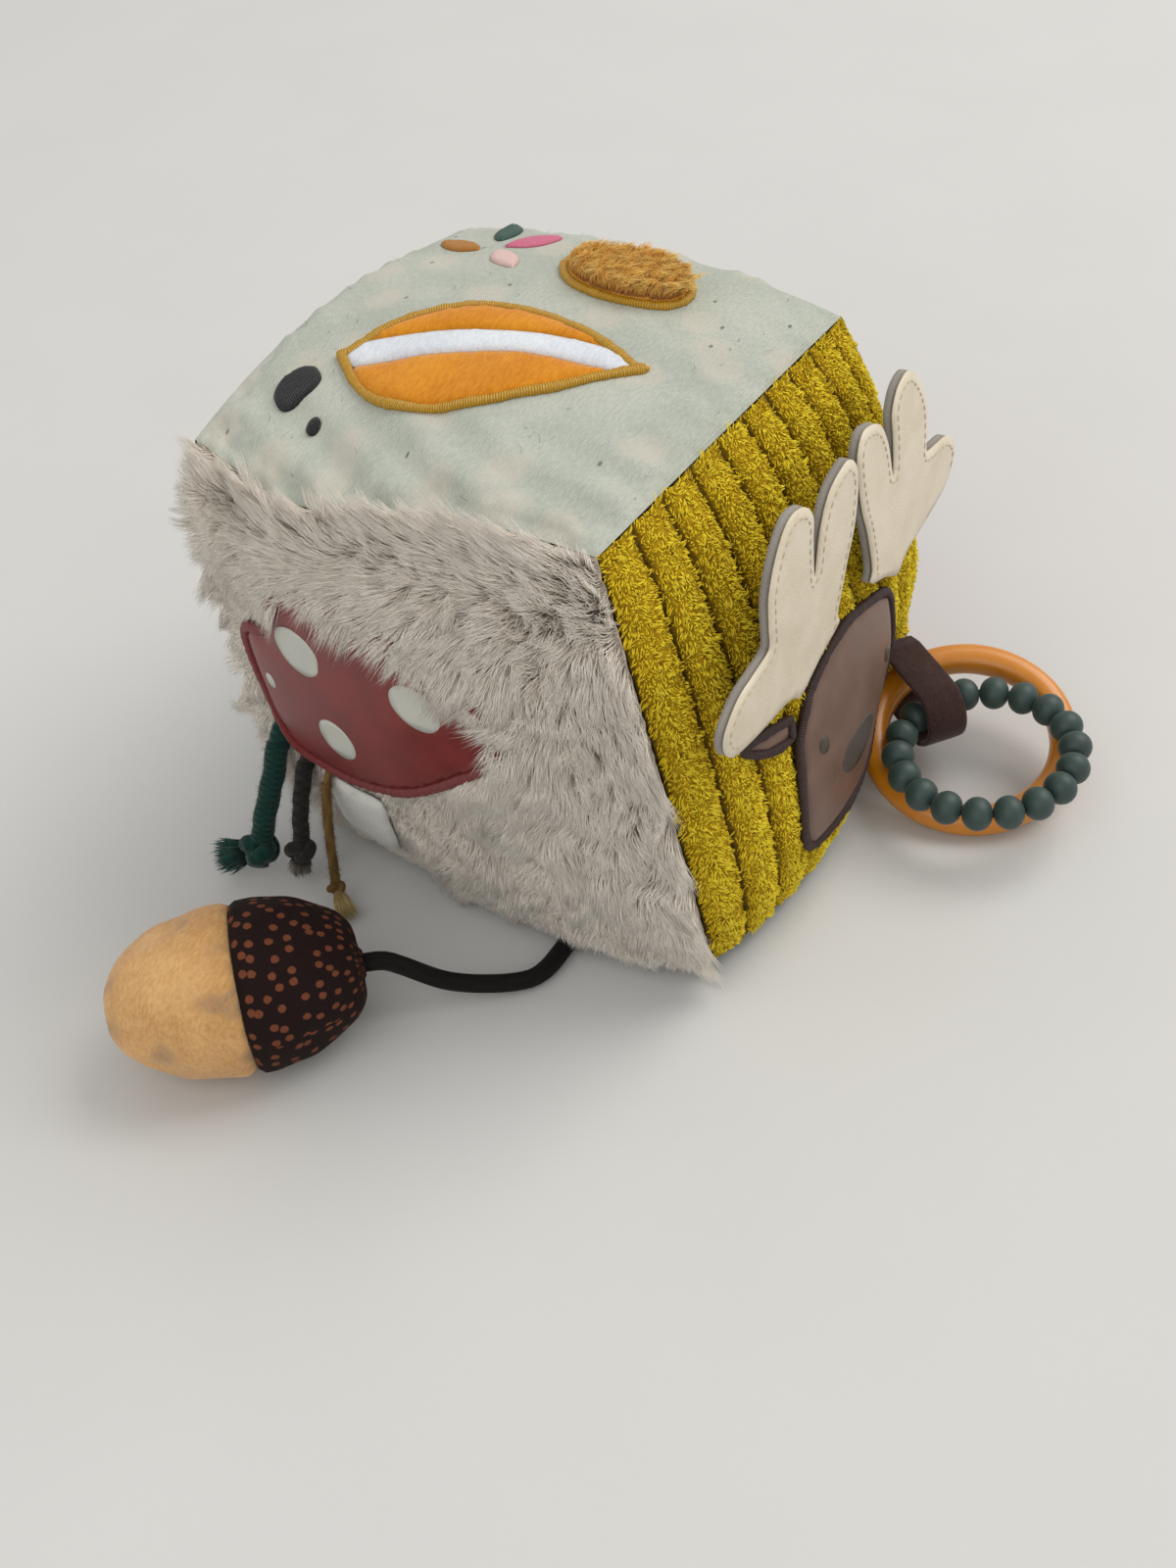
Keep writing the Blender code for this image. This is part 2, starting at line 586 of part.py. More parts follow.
def add_patch(name: str, face: str, finish: str, loops, thickness: float, lift: float = 0.0) -> None:
    """Add a piece of cloth sewn flat on a panel, bent to the panel's shape.

    Args:
        name: the node's name.
        face: the panel that carries it.
        finish: its material.
        loops: its outline and any holes, in cloth distances.
        thickness: how thick it is.
        lift: further height of its under side above the surface that it is sewn to.
    """
    mesh = flat_slab(loops, 1.0, name)
    bm = bmesh.new()
    bm.from_mesh(mesh)
    bpy.data.meshes.remove(mesh)
    if len(loops) == 1:
        bmesh.ops.dissolve_faces(bm, faces=[face for face in bm.faces if face.normal.z > 0.9])
        bmesh.ops.dissolve_faces(bm, faces=[face for face in bm.faces if face.normal.z < -0.9])
    places = np.array([point for loop in loops for point in loop])
    low, high = places.min(0), places.max(0)
    grid = []
    for axis in (0, 1):
        first = math.floor(low[axis] / PATCH_CELL) + 1
        last = math.ceil(high[axis] / PATCH_CELL)
        grid.append([k * PATCH_CELL for k in range(first, last)])
    cut_on_lines(bm, *grid)

    def under(u, v):
        return seat(face, u, v) + FIT_GAP + lift, np.zeros_like(u)

    def over(u, v):
        return seat(face, u, v) + FIT_GAP + lift + thickness, np.zeros_like(u)

    bend_onto_cloth(bm, face, under, over)
    add_object(name, finish_mesh(bm, name), finish)


def add_bordered(name: str, border: str, face: str, finish: str, border_finish: str, loop,
                 thickness: float = PATCH_T) -> None:
    """Add a patch and the satin-stitched border round it."""
    hole = inset(loop, BORDER_W)
    add_patch(border, face, border_finish, [loop, hole], BORDER_T)
    add_patch(name, face, finish, [inset(hole, JOIN_GAP)], thickness)


def add_tube(name: str, points, radius: float, finish: str, at, sides: int = 2):
    """Add a round cord: a poly curve with a bevel and filled ends, its origin at its first point."""
    curve = bpy.data.curves.new(name, "CURVE")
    curve.dimensions = "3D"
    curve.bevel_depth = radius
    curve.bevel_resolution = sides
    curve.use_fill_caps = True
    spline = curve.splines.new("POLY")
    spline.points.add(len(points) - 1)
    for point, place in zip(spline.points, points):
        point.co = (*place, 1)
    return add_object(name, curve, finish, at)


def add_turned(name: str, profile, steps: int, finish: str, at, turn: Matrix):
    """Add a turned solid: a profile of radius and height, from top to bottom, swept round its Z axis."""
    mesh = bpy.data.meshes.new(name)
    verts = [(radius, 0, height) for radius, height in reversed(profile)]
    edges = [(i, i + 1) for i in range(len(verts) - 1)]
    mesh.from_pydata(verts, edges, [])
    obj = add_object(name, mesh, finish, at, turn)
    screw = obj.modifiers.new("turn", "SCREW")
    screw.steps = steps
    screw.render_steps = steps
    screw.use_merge_vertices = True
    screw.merge_threshold = 0.00005
    screw.use_normal_calculate = True
    screw.use_normal_flip = True
    return obj


def add_ball(name: str, radii, finish: str, at, turn: Matrix | None = None):
    """Add an ellipsoid from a sphere primitive."""
    bm = bmesh.new()
    bmesh.ops.create_uvsphere(bm, u_segments=14, v_segments=9, radius=1.0)
    for vert in bm.verts:
        vert.co = Vector(c * r for c, r in zip(vert.co, radii))
    return add_object(name, finish_mesh(bm, name), finish, at, turn)


def leaf_loops() -> dict:
    """Return the outlines of the big leaf: its edge, its two halves and the band between them."""
    xs = np.array([a for a, _ in LEAF_WIDTH_SHARES]) * LEAF_LENGTH
    ws = np.array([b for _, b in LEAF_WIDTH_SHARES]) * LEAF_WIDTH / 2
    along = np.linspace(0, LEAF_LENGTH, 19)
    halves = np.interp(along, xs, ws)
    edge = [(a, -w) for a, w in zip(along, halves)] + [(a, w) for a, w in zip(along[-2:0:-1], halves[-2:0:-1])]
    hole = inset(edge, BORDER_W)
    free = np.array(inset(hole, JOIN_GAP))
    under = free[free[:, 1] < 0]
    over = free[free[:, 1] > 0]
    under = under[np.argsort(under[:, 0])]
    over = over[np.argsort(over[:, 0])]
    side = LEAF_BAND / 2

    def rib(a):
        return BAND_BOW_SHARE * LEAF_WIDTH * np.sin(np.pi * a / LEAF_LENGTH)

    def between(points, sign):
        keep = points[sign * (points[:, 1] - rib(points[:, 0])) > side + LEAF_BAND / 4]
        back = [(a, rib(a) + sign * (side + JOIN_GAP)) for a in keep[::-1, 0]]
        return [tuple(point) for point in keep] + back

    first = max(under[0, 0], over[0, 0]) + JOIN_GAP
    last = min(under[-1, 0], over[-1, 0]) - JOIN_GAP
    stations = np.linspace(first, last, 17)
    low = np.maximum(np.interp(stations, under[:, 0], under[:, 1]), rib(stations) - side)
    high = np.minimum(np.interp(stations, over[:, 0], over[:, 1]), rib(stations) + side)
    band = list(zip(stations, low)) + list(zip(stations[::-1], high[::-1]))
    cos, sin = math.cos(math.radians(LEAF_TURN_DEG)), math.sin(math.radians(LEAF_TURN_DEG))

    def place(points):
        return [np.array([LEAF_AT[0] + a * cos - b * sin, LEAF_AT[1] + a * sin + b * cos]) for a, b in points]

    return {"edge": place(edge), "hole": place(hole), "near": place(between(under, -1)),
            "far": place(between(over, 1)), "band": place(band)}


def add_top_design() -> None:
    """Add the leaves, berries and sprig sewn on the jersey top."""
    leaf = leaf_loops()
    add_patch("leaf_border", "top", "gold_satin", [leaf["edge"], leaf["hole"]], BORDER_T)
    add_patch("leaf_half_near", "top", "orange_velour", [leaf["near"]], PATCH_T)
    add_patch("leaf_half_far", "top", "orange_velour", [leaf["far"]], PATCH_T)
    add_patch("leaf_band", "top", "white_plush", [leaf["band"]], PATCH_T)
    fluffy = outline(FLUFFY_SHARES, FLUFFY_LENGTH, FLUFFY_WIDTH, FLUFFY_AT, FLUFFY_TURN_DEG, 3)
    add_bordered("fluffy_leaf", "fluffy_border", "top", "ochre_fur", "gold_satin", fluffy, FLUFFY_T)
    oval = outline(ROUND_OVAL_SHARES, OVAL_LENGTH, OVAL_WIDTH, OVAL_AT, OVAL_TURN_DEG)
    add_patch("berry_oval", "top", "black_satin", [oval], BORDER_T)
    dot = outline(ROUND_OVAL_SHARES, DOT_SIZE, DOT_SIZE, DOT_AT, 0.0, 1)
    add_patch("berry_dot", "top", "black_satin", [dot], BORDER_T)
    finishes = ("brown_satin", "pink_satin", "pale_pink_satin", "leaf_green_satin")
    for (name, (a, b, turn)), finish in zip(SPRIG_SHARES.items(), finishes):
        at = (SPRIG_AT[0] + a * SPRIG_LENGTH, SPRIG_AT[1] + b * SPRIG_LENGTH)
        petal = outline(PETAL_SHARES, SPRIG_LENGTH, SPRIG_WIDTH, at, turn)
        add_patch(name, "top", finish, [petal], PATCH_T)


def antler_frame(side: int) -> tuple:
    """Return the middle of an antler's fold line and the turn of its plate (side -1 left, 1 right)."""
    plate = ANTLER_SKIN_T + ANTLER_FELT_T + JOIN_GAP
    height = RIB_BASE + RIB_RISE + FIT_GAP + plate
    head_top = HEAD_AT[1] + HEAD_HEIGHT / 2
    foot = cloth("right", side * ANTLER_SPREAD, head_top, height)[0]
    middle = cloth("right", 0.0, head_top, height)[0]
    foot[1] = ANTLER_MIDDLE_Y + side * ANTLER_SPREAD
    foot[2] = middle[2] + ANTLER_ABOVE_HEAD - ANTLER_FOOT_SHARE * ANTLER_HEIGHT
    yaw = math.radians(ANTLER_YAW_RIGHT_DEG if side > 0 else ANTLER_YAW_LEFT_DEG)
    lean = math.radians(ANTLER_LEAN_RIGHT_DEG if side > 0 else ANTLER_LEAN_LEFT_DEG)
    across = Vector((-math.sin(yaw), math.cos(yaw), 0.0))
    up = Vector((-math.sin(lean) * math.cos(yaw), -math.sin(lean) * math.sin(yaw), math.cos(lean)))
    out = across.cross(up)
    return foot, Matrix((across, up, out)).transposed()


def add_antler(side: int) -> None:
    """Add one antler: a leatherette plate on a felt one, folding at the line where its base is sewn."""
    word = "right" if side > 0 else "left"
    foot, turn = antler_frame(side)
    rise = ANTLER_FOOT_SHARE * ANTLER_HEIGHT
    cos, sin = math.cos(math.radians(ANTLER_ROLL_DEG)), math.sin(math.radians(ANTLER_ROLL_DEG))
    points = []
    for a, b in ANTLER_SHARES:
        x, y = side * a * ANTLER_WIDTH, b * ANTLER_HEIGHT
        points.append((x * cos - y * sin, x * sin + y * cos + rise))
    loop = smooth_loop(points, 2)
    skin = flat_slab([loop], ANTLER_SKIN_T, f"antler_{word}_skin")
    for vert in skin.vertices:
        vert.co.z -= ANTLER_SKIN_T
    skin.shade_flat()
    add_object(f"antler_{word}_skin", skin, "cream_leatherette", foot, turn)
    felt = flat_slab([loop], ANTLER_FELT_T, f"antler_{word}_felt")
    for vert in felt.vertices:
        vert.co.z -= ANTLER_SKIN_T + JOIN_GAP + ANTLER_FELT_T
    felt.shade_flat()
    add_object(f"antler_{word}_felt", felt, "grey_felt", foot, turn)


def add_head() -> None:
    """Add the animal's head with its border, its ear and its two antlers."""
    head = outline(HEAD_SHARES, HEAD_WIDTH, HEAD_HEIGHT, HEAD_AT, 0.0, 2)
    add_bordered("head_panel", "head_border", "right", "brown_leatherette", "dark_brown_satin", head)
    ear = outline(EAR_SHARES, EAR_LENGTH, EAR_WIDTH, EAR_AT, EAR_TURN_DEG, 2)
    add_bordered("ear_left", "ear_border", "right", "brown_leatherette", "dark_brown_satin", ear)
    add_antler(-1)
    add_antler(1)


def add_mushroom() -> None:
    """Add the mushroom's cap with its border, and its stem below."""
    cap = outline(CAP_SHARES, CAP_WIDTH, CAP_HEIGHT, CAP_AT, 0.0, 2)
    add_bordered("mushroom_cap", "mushroom_border", "front", "red_leatherette", "red_satin", cap)
    stem = outline(STEM_SHARES, STEM_WIDTH, STEM_HEIGHT, STEM_AT, 0.0, 2)
    add_patch("mushroom_stem", "front", "white_cloth", [stem], PATCH_T)


def cord_start(place, radius: float, lift: float) -> np.ndarray:
    """Return where a knotted cord begins: on the pile or the stem, just below the mushroom's border."""
    u, v = np.array([place[0]]), np.array([place[1]])
    return cloth("front", u, v, cover("front", u, v) + lift + FIT_GAP + radius)[0]


def add_knotted_cord(name: str, place, route, radius: float, finish: str, tip_finish: str,
                     knot_share: float, tassel_length: float, tassel_to, lift: float = 0.0) -> None:
    """Add a free cord with an overhand knot and a frayed end.

    Args:
        name: the cord's name.
        place: where it is sewn, in cloth distances on the front panel.
        route: its centre line from that place.
        radius: its radius.
        finish: its material.
        tip_finish: the material of its frayed end.
        knot_share: the knot's radius in cord radii.
        tassel_length: how long the frayed end is.
        tassel_to: the direction that the frayed end points in.
        lift: height of what it is sewn to above the pile.
    """
    start = cord_start(place, radius, lift)
    points = smooth_route(route, max(4, int(len(route) * 2)))
    add_tube(f"{name}_cord", points, radius, finish, start)
    knot_r = radius * knot_share
    heading = np.array(route[-1]) - np.array(route[-2])
    heading /= np.linalg.norm(heading)
    knot_at = start + np.array(route[-1]) + heading * (knot_r * KNOT_SQUASH_SHARE + JOIN_GAP)
    turn = Vector(heading).to_track_quat("Z", "Y").to_matrix()
    add_ball(f"{name}_knot", (knot_r, knot_r, knot_r * KNOT_SQUASH_SHARE), finish, knot_at, turn)
    way = np.array(tassel_to, float)
    way /= np.linalg.norm(way)
    along = float(np.dot(way, heading))
    reach = knot_r / math.sqrt((along / KNOT_SQUASH_SHARE) ** 2 + 1 - along ** 2)
    begin = knot_at + way * (reach + JOIN_GAP)
    profile = ((0.0, 0.0), (radius, 0.0), (knot_r * TASSEL_SPREAD_SHARE, tassel_length), (0.0, tassel_length))
    profile = tuple(reversed(profile))
    add_turned(f"{name}_tassel", profile, 10, tip_finish, begin, Vector(way).to_track_quat("Z", "Y").to_matrix())


def add_knotted_cords() -> None:
    """Add the three knotted cords that hang from under the mushroom cap."""
    add_knotted_cord("green", GREEN_AT, GREEN_ROUTE, GREEN_R, "green_cord", "green_cord",
                     1.95, 0.0095, (-0.85, -0.36, -0.30), -CORD_SINK)
    add_knotted_cord("black", BLACK_AT, BLACK_ROUTE, BLACK_R, "black_cord", "grey_fray",
                     2.15, 0.0050, (-0.15, -0.20, -0.97), -CORD_SINK)
    add_knotted_cord("tan", TAN_AT, TAN_ROUTE, TAN_R, "tan_cord", "tan_cord",
                     2.20, 0.0090, (0.75, -0.55, -0.30), PILE_SLACK + FIT_GAP + PATCH_T)


def loop_frame() -> tuple:
    """Return where the fabric loop is sewn, its heading and the direction of its width."""
    u, v = np.array([LOOP_AT[0]]), np.array([LOOP_AT[1]])
    root = cloth("right", u, v, cover("right", u, v) + FIT_GAP)[0]
    heading = math.radians(LOOP_HEADING_DEG)
    along = np.array([math.cos(heading), math.sin(heading), 0.0])
    across = np.array([-math.sin(heading), math.cos(heading), 0.0])
    return root, along, across


def gap_to_ribs(centre: np.ndarray, turn: Matrix, radius: float, tube: float, ribs: np.ndarray) -> float:
    """Return the least distance between a ring's tube and the ribs of the plush side."""
    angles = np.linspace(0, 2 * np.pi, 73)[:-1]
    first, second = np.array(turn.col[0]), np.array(turn.col[1])
    line = centre + radius * (np.cos(angles)[:, None] * first + np.sin(angles)[:, None] * second)
    return np.linalg.norm(line[:, None, :] - ribs[None, :, :], axis=2).min() - tube


def ring_places() -> dict:
    """Return the centre and turn of each ring: the amber one leans on the floor, the beads lie over it.

    Both are placed from the root of their fabric loop, and moved together along X until the nearer one
    stands clear of the ribs by RING_GAP.
    """
    root = loop_frame()[0]
    places = {}
    for name, away, lean in (("amber", AMBER_FROM_LOOP, AMBER_LEAN_SHARES),
                             ("bead", BEADS_FROM_LOOP, BEADS_LEAN_SHARES)):
        normal = Vector((*lean, 1.0)).normalized()
        centre = np.array([root[0] + away[0], root[1] + away[1], 0.0])
        places[name] = (centre, normal.to_track_quat("Z", "Y").to_matrix())
    normal = places["amber"][1].col[2]
    drop = AMBER_R * math.hypot(normal[0], normal[1])
    places["amber"][0][2] = drop + AMBER_TUBE + FLOOR_GAP
    places["bead"][0][2] = places["amber"][0][2] + BEADS_ABOVE_AMBER
    line = np.linspace(-CLOTH_HALF, CLOTH_HALF, 81)
    u, v = (grid.ravel() for grid in np.meshgrid(line, line[:41]))
    ribs = cloth("right", u, v, cover("right", u, v))
    tubes = (("amber", AMBER_R, AMBER_TUBE), ("bead", BEAD_RING_R, BEAD_R))
    near, far = -RING_ROOM, RING_ROOM
    for _ in range(24):
        middle = (near + far) / 2
        shift = np.array([middle, 0.0, 0.0])
        gap = min(gap_to_ribs(places[name][0] + shift, places[name][1], radius, tube, ribs)
                  for name, radius, tube in tubes)
        near, far = (middle, far) if gap < RING_GAP else (near, middle)
    for name, _, _ in tubes:
        places[name][0][0] += (near + far) / 2
    return places


def add_rings() -> None:
    """Add the amber ring, the ring of beads and the fabric loop that holds both."""
    places = ring_places()
    centre, turn = places["amber"]
    bm = bmesh.new()
    major, minor = 40, 8
    add_ring_grid(bm, major, minor, AMBER_R, lambda share: AMBER_TUBE)
    add_object("amber_ring", finish_mesh(bm, "amber_ring"), "amber_silicone", centre, turn)
    centre, turn = places["bead"]

    def bead_radius(share):
        phase = (share * BEAD_COUNT) % 1.0 - 0.5
        pitch = 2 * math.pi * BEAD_RING_R / BEAD_COUNT
        ball = math.sqrt(max(BEAD_R ** 2 - (phase * pitch) ** 2, 0))
        return max(ball, BEAD_R * BEAD_NECK_SHARE)

    bm = bmesh.new()
    add_ring_grid(bm, BEAD_COUNT * 5, 8, BEAD_RING_R, bead_radius)
    add_object("bead_ring", finish_mesh(bm, "bead_ring"), "teal_silicone", centre, turn)
    add_loop(places)


def add_ring_grid(bm: bmesh.types.BMesh, major: int, minor: int, radius: float, tube) -> None:
    """Build a closed ring whose tube radius follows a function of the share of the way round.

    A closed grid of two angles is needed because the ring of beads swells and narrows all the way round.
    """
    rows = []
    for i in range(major):
        share = i / major
        angle = 2 * math.pi * share
        thick = tube(share)
        row = []
        for j in range(minor):
            turn = 2 * math.pi * (j + 0.5) / minor
            out = radius + thick * math.cos(turn)
            row.append(bm.verts.new((out * math.cos(angle), out * math.sin(angle), thick * math.sin(turn))))
        rows.append(row)
    for i in range(major):
        for j in range(minor):
            a, b = rows[i], rows[(i + 1) % major]
            k = (j + 1) % minor
            bm.faces.new((a[j], b[j], b[k], a[k]))


def add_loop(places: dict) -> None:
    """Add the fabric loop: a band from the seam that goes over both rings, round the beads and back under."""
    root, along, across = loop_frame()
    tubes = []
    for name, radius, thick in (("amber", AMBER_R, AMBER_TUBE), ("bead", BEAD_RING_R, BEAD_R)):
        centre, turn = places[name]
        flat = np.array(turn.inverted() @ Vector(-along))
        flat[2] = 0.0
        near = centre + np.array(turn @ Vector(flat / np.linalg.norm(flat))) * radius
        normal = np.array(turn.col[2])
        rise = abs(float(normal[:2] @ across[:2])) * LOOP_WIDTH / 2
        bow = LOOP_WIDTH ** 2 / (8 * radius)
        tubes.append((float(np.dot(near - root, along)), near[2] - root[2], thick + LOOP_CLEAR + rise, bow))
    (s1, z1, h1, _), (s2, z2, h2, bow) = tubes
    turns = [math.radians(a) for a in (-90, -60, -30, 0, 30, 60, 90)]
    round_out = h2 / math.cos(math.radians(15))
    tip = s2 + bow + LOOP_SLACK
    inner = [(LOOP_FOOT, z1 - h1), (s1, z1 - h1)]
    inner += [(tip + round_out * math.cos(a), z2 + round_out * math.sin(a)) for a in turns]
    inner += [(s1, z1 + h1), (LOOP_FOOT, z1 + h1)]
    outer = [(LOOP_FOOT, z1 - h1 - LOOP_T), (s1, z1 - h1 - LOOP_T)]
    wide = round_out + LOOP_T
    outer += [(tip + wide * math.cos(a), z2 + wide * math.sin(a)) for a in turns]
    outer += [(s1, z1 + h1 + LOOP_T), (LOOP_FOOT, z1 + h1 + LOOP_T)]
    loop = [np.array(point) for point in outer + inner[::-1]]
    mesh = flat_slab([loop], LOOP_WIDTH, "ring_loop")
    for vert in mesh.vertices:
        vert.co.z -= LOOP_WIDTH / 2
    mesh.shade_flat()
    turn = Matrix((Vector(along), Vector((0, 0, 1)), Vector(along).cross(Vector((0, 0, 1))))).transposed()
    add_object("ring_loop", mesh, "brown_webbing", root, turn)


def acorn_cord_start() -> np.ndarray:
    """Return where the acorn's cord leaves the block, on the floor against the front panel's foot."""
    v = np.linspace(-CLOTH_HALF, -CLOTH_HALF * 0.6, 60)
    u = np.full_like(v, ACORN_CORD_AT)
    foot = cloth("front", u, v, cover("front", u, v))
    foot = foot[foot[:, 2] < 2 * ACORN_CORD_R + FIT_GAP]
    return np.array([foot[0, 0], foot[:, 1].min() - FIT_GAP, ACORN_CORD_R + FLOOR_GAP])


def add_acorn() -> None:
    """Add the acorn: its cord, its spotted cap and its beige nut, lying on the floor."""
    start = acorn_cord_start()
    rise = ACORN_R + FLOOR_GAP - start[2]
    points = smooth_route([(x, y, share * rise) for x, y, share in ACORN_ROUTE], 16)
    add_tube("acorn_cord", points, ACORN_CORD_R, "dark_cord", start)
    heading = math.radians(ACORN_TURN_DEG)
    way = Vector((math.cos(heading), math.sin(heading), 0.0))
    begin = Vector(start + points[-1]) + way * ACORN_CORD_GAP
    turn = way.to_track_quat("Z", "Y").to_matrix()
    cap = [(0.0, ACORN_CAP_L), (ACORN_R, ACORN_CAP_L)]
    for k in range(1, 8):
        angle = math.pi / 2 * k / 8
        cap.append((ACORN_TIP_R + (ACORN_R - ACORN_TIP_R) * math.cos(angle) ** 0.9,
                    ACORN_CAP_L * (1 - math.sin(angle))))
    cap += [(ACORN_TIP_R, 0.0), (0.0, 0.0)]
    add_turned("acorn_cap", cap, 20, "spotted_cloth", begin, turn)
    nut = [(0.0, ACORN_NUT_L)]
    for k in range(7, 0, -1):
        angle = math.pi / 2 * k / 8
        nut.append((ACORN_R * math.cos(angle) ** 0.85, ACORN_NUT_L * math.sin(angle)))
    nut += [(ACORN_R, 0.0), (0.0, 0.0)]
    nut = [(r, h + ACORN_CAP_L + JOIN_GAP) for r, h in nut]
    add_turned("acorn_nut", nut, 20, "beige_velour", begin, turn)


def add_filling() -> None:
    """Add the fibre filling: a cube primitive cut into cells and placed just inside the panels."""
    bm = bmesh.new()
    bmesh.ops.create_cube(bm, size=2.0)
    for axis in range(3):
        normal = Vector([1 if k == axis else 0 for k in range(3)])
        for i in range(1, CELLS_PLAIN):
            geometry = bm.verts[:] + bm.edges[:] + bm.faces[:]
            place = normal * (2 * i / CELLS_PLAIN - 1)
            bmesh.ops.bisect_plane(bm, geom=geometry, dist=1e-6, plane_co=place, plane_no=normal)
    co = np.array([v.co[:] for v in bm.verts])
    placed = block_points(co)
    placed += (BLOCK_MIDDLE - placed) * ((PANEL_T + CORE_GAP) / BASE_HALF)
    for vert, point in zip(bm.verts, placed):
        vert.co = point
    add_object("stuffing_core", finish_mesh(bm, "stuffing_core"), "filling")


def main() -> None:
    """Clear the scene and build every piece of the block."""
    for obj in list(bpy.data.objects):
        bpy.data.objects.remove(obj)
    if "fabric_block" not in bpy.data.collections:
        bpy.context.scene.collection.children.link(bpy.data.collections.new("fabric_block"))
    add_filling()
    add_panel("top_panel", "top", "sage_jersey", CELLS_FINE, CELLS_FINE)
    add_panel("front_panel", "front", "cream_fur", CELLS_FINE, CELLS_FINE)
    add_panel("right_panel", "right", "mustard_plush", RIB_COUNT * CELLS_PER_RIB, CELLS_PLAIN)
    add_panel("back_panel", "back", "red_velour", CELLS_PLAIN, CELLS_PLAIN)
    add_panel("left_panel", "left", "green_velour", CELLS_PLAIN, CELLS_PLAIN)
    add_panel("bottom_panel", "bottom", "green_velour", CELLS_PLAIN, CELLS_PLAIN)
    add_top_design()
    add_head()
    add_mushroom()
    add_knotted_cords()
    add_rings()
    add_acorn()


main()
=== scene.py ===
"""Dressed scene of a soft fabric activity block, in metres, +Z up.

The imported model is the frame. Every cloth piece is a new mesh laid on the same rounded cube as the model's
solids, so it stays where its node is. The front is long-pile fur with a mushroom, the right side is ribbed
plush with an animal's head, and the top is jersey with leaves and berries.
"""
import json
import logging
import math
from dataclasses import dataclass, field
from enum import Enum

import bmesh
import bpy
import numpy as np
from mathutils import Matrix, Vector
from mathutils.geometry import delaunay_2d_cdt

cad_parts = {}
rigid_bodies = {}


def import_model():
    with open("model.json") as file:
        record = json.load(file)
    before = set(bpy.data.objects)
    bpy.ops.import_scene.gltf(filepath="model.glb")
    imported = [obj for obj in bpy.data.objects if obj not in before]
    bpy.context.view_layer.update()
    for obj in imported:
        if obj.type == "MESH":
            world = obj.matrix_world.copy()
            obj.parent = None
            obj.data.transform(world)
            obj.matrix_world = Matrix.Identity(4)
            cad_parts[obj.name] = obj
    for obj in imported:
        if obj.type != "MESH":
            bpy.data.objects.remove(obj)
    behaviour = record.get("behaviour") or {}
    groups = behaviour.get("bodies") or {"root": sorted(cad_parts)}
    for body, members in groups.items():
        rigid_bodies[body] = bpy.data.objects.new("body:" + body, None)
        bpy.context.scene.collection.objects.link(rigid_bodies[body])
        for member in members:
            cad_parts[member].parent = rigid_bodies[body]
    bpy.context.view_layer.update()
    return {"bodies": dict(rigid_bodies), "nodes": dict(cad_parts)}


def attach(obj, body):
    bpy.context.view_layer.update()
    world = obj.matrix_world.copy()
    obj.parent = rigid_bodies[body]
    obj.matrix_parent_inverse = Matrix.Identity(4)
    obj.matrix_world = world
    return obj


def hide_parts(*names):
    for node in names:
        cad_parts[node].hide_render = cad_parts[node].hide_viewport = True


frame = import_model()
LOG = logging.getLogger("fabric_block")
Array = np.ndarray
Piece = bpy.types.Object
MM = 0.001


def linear(colour: tuple) -> tuple:
    """Turn a colour written from 0 to 255 into linear values.

    Args:
        colour: red, green and blue.

    Returns:
        Linear red, green, blue and alpha.
    """
    share = np.array(colour, float) / 255
    values = np.where(share <= 0.04045, share / 12.92, ((share + 0.055) / 1.055) ** 2.4)
    return (*(float(v) for v in values), 1.0)


# Shader maths

class Value:
    """A shader socket on which sums can be written as Python expressions."""

    def __init__(self, paint: "Paint", socket: bpy.types.NodeSocket) -> None:
        """Keep the socket and the material that it belongs to."""
        self.paint = paint
        self.socket = socket

    def maths(self, operation: str, other: object = None) -> "Value":
        """Return a Math node of this value and another."""
        return self.paint.node("ShaderNodeMath", {"operation": operation}, {0: self, 1: other})

    def back(self, operation: str, other: object) -> "Value":
        """Return a Math node whose first value is the other one."""
        return self.paint.node("ShaderNodeMath", {"operation": operation}, {0: other, 1: self})

    def __add__(self, other: object) -> "Value":
        """Add."""
        return self.maths("ADD", other)

    __radd__ = __add__

    def __sub__(self, other: object) -> "Value":
        """Subtract."""
        return self.maths("SUBTRACT", other)

    def __rsub__(self, other: object) -> "Value":
        """Subtract this value from another."""
        return self.back("SUBTRACT", other)

    def __mul__(self, other: object) -> "Value":
        """Multiply."""
        return self.maths("MULTIPLY", other)

    __rmul__ = __mul__

    def __truediv__(self, other: object) -> "Value":
        """Divide."""
        return self.maths("DIVIDE", other)

    def __rtruediv__(self, other: object) -> "Value":
        """Divide another value by this one."""
        return self.back("DIVIDE", other)

    def wave(self, pitch: float) -> "Value":
        """Return a sine wave of that pitch, from 0 to 1."""
        return (self * (2 * math.pi / pitch)).maths("SINE") * 0.5 + 0.5

    def step(self, low: float, high: float) -> "Value":
        """Return a smooth step from 0 at low to 1 at high."""
        return self.paint.node("ShaderNodeMapRange", {"interpolation_type": "SMOOTHSTEP"},
                               {"Value": self, "From Min": low, "From Max": high})


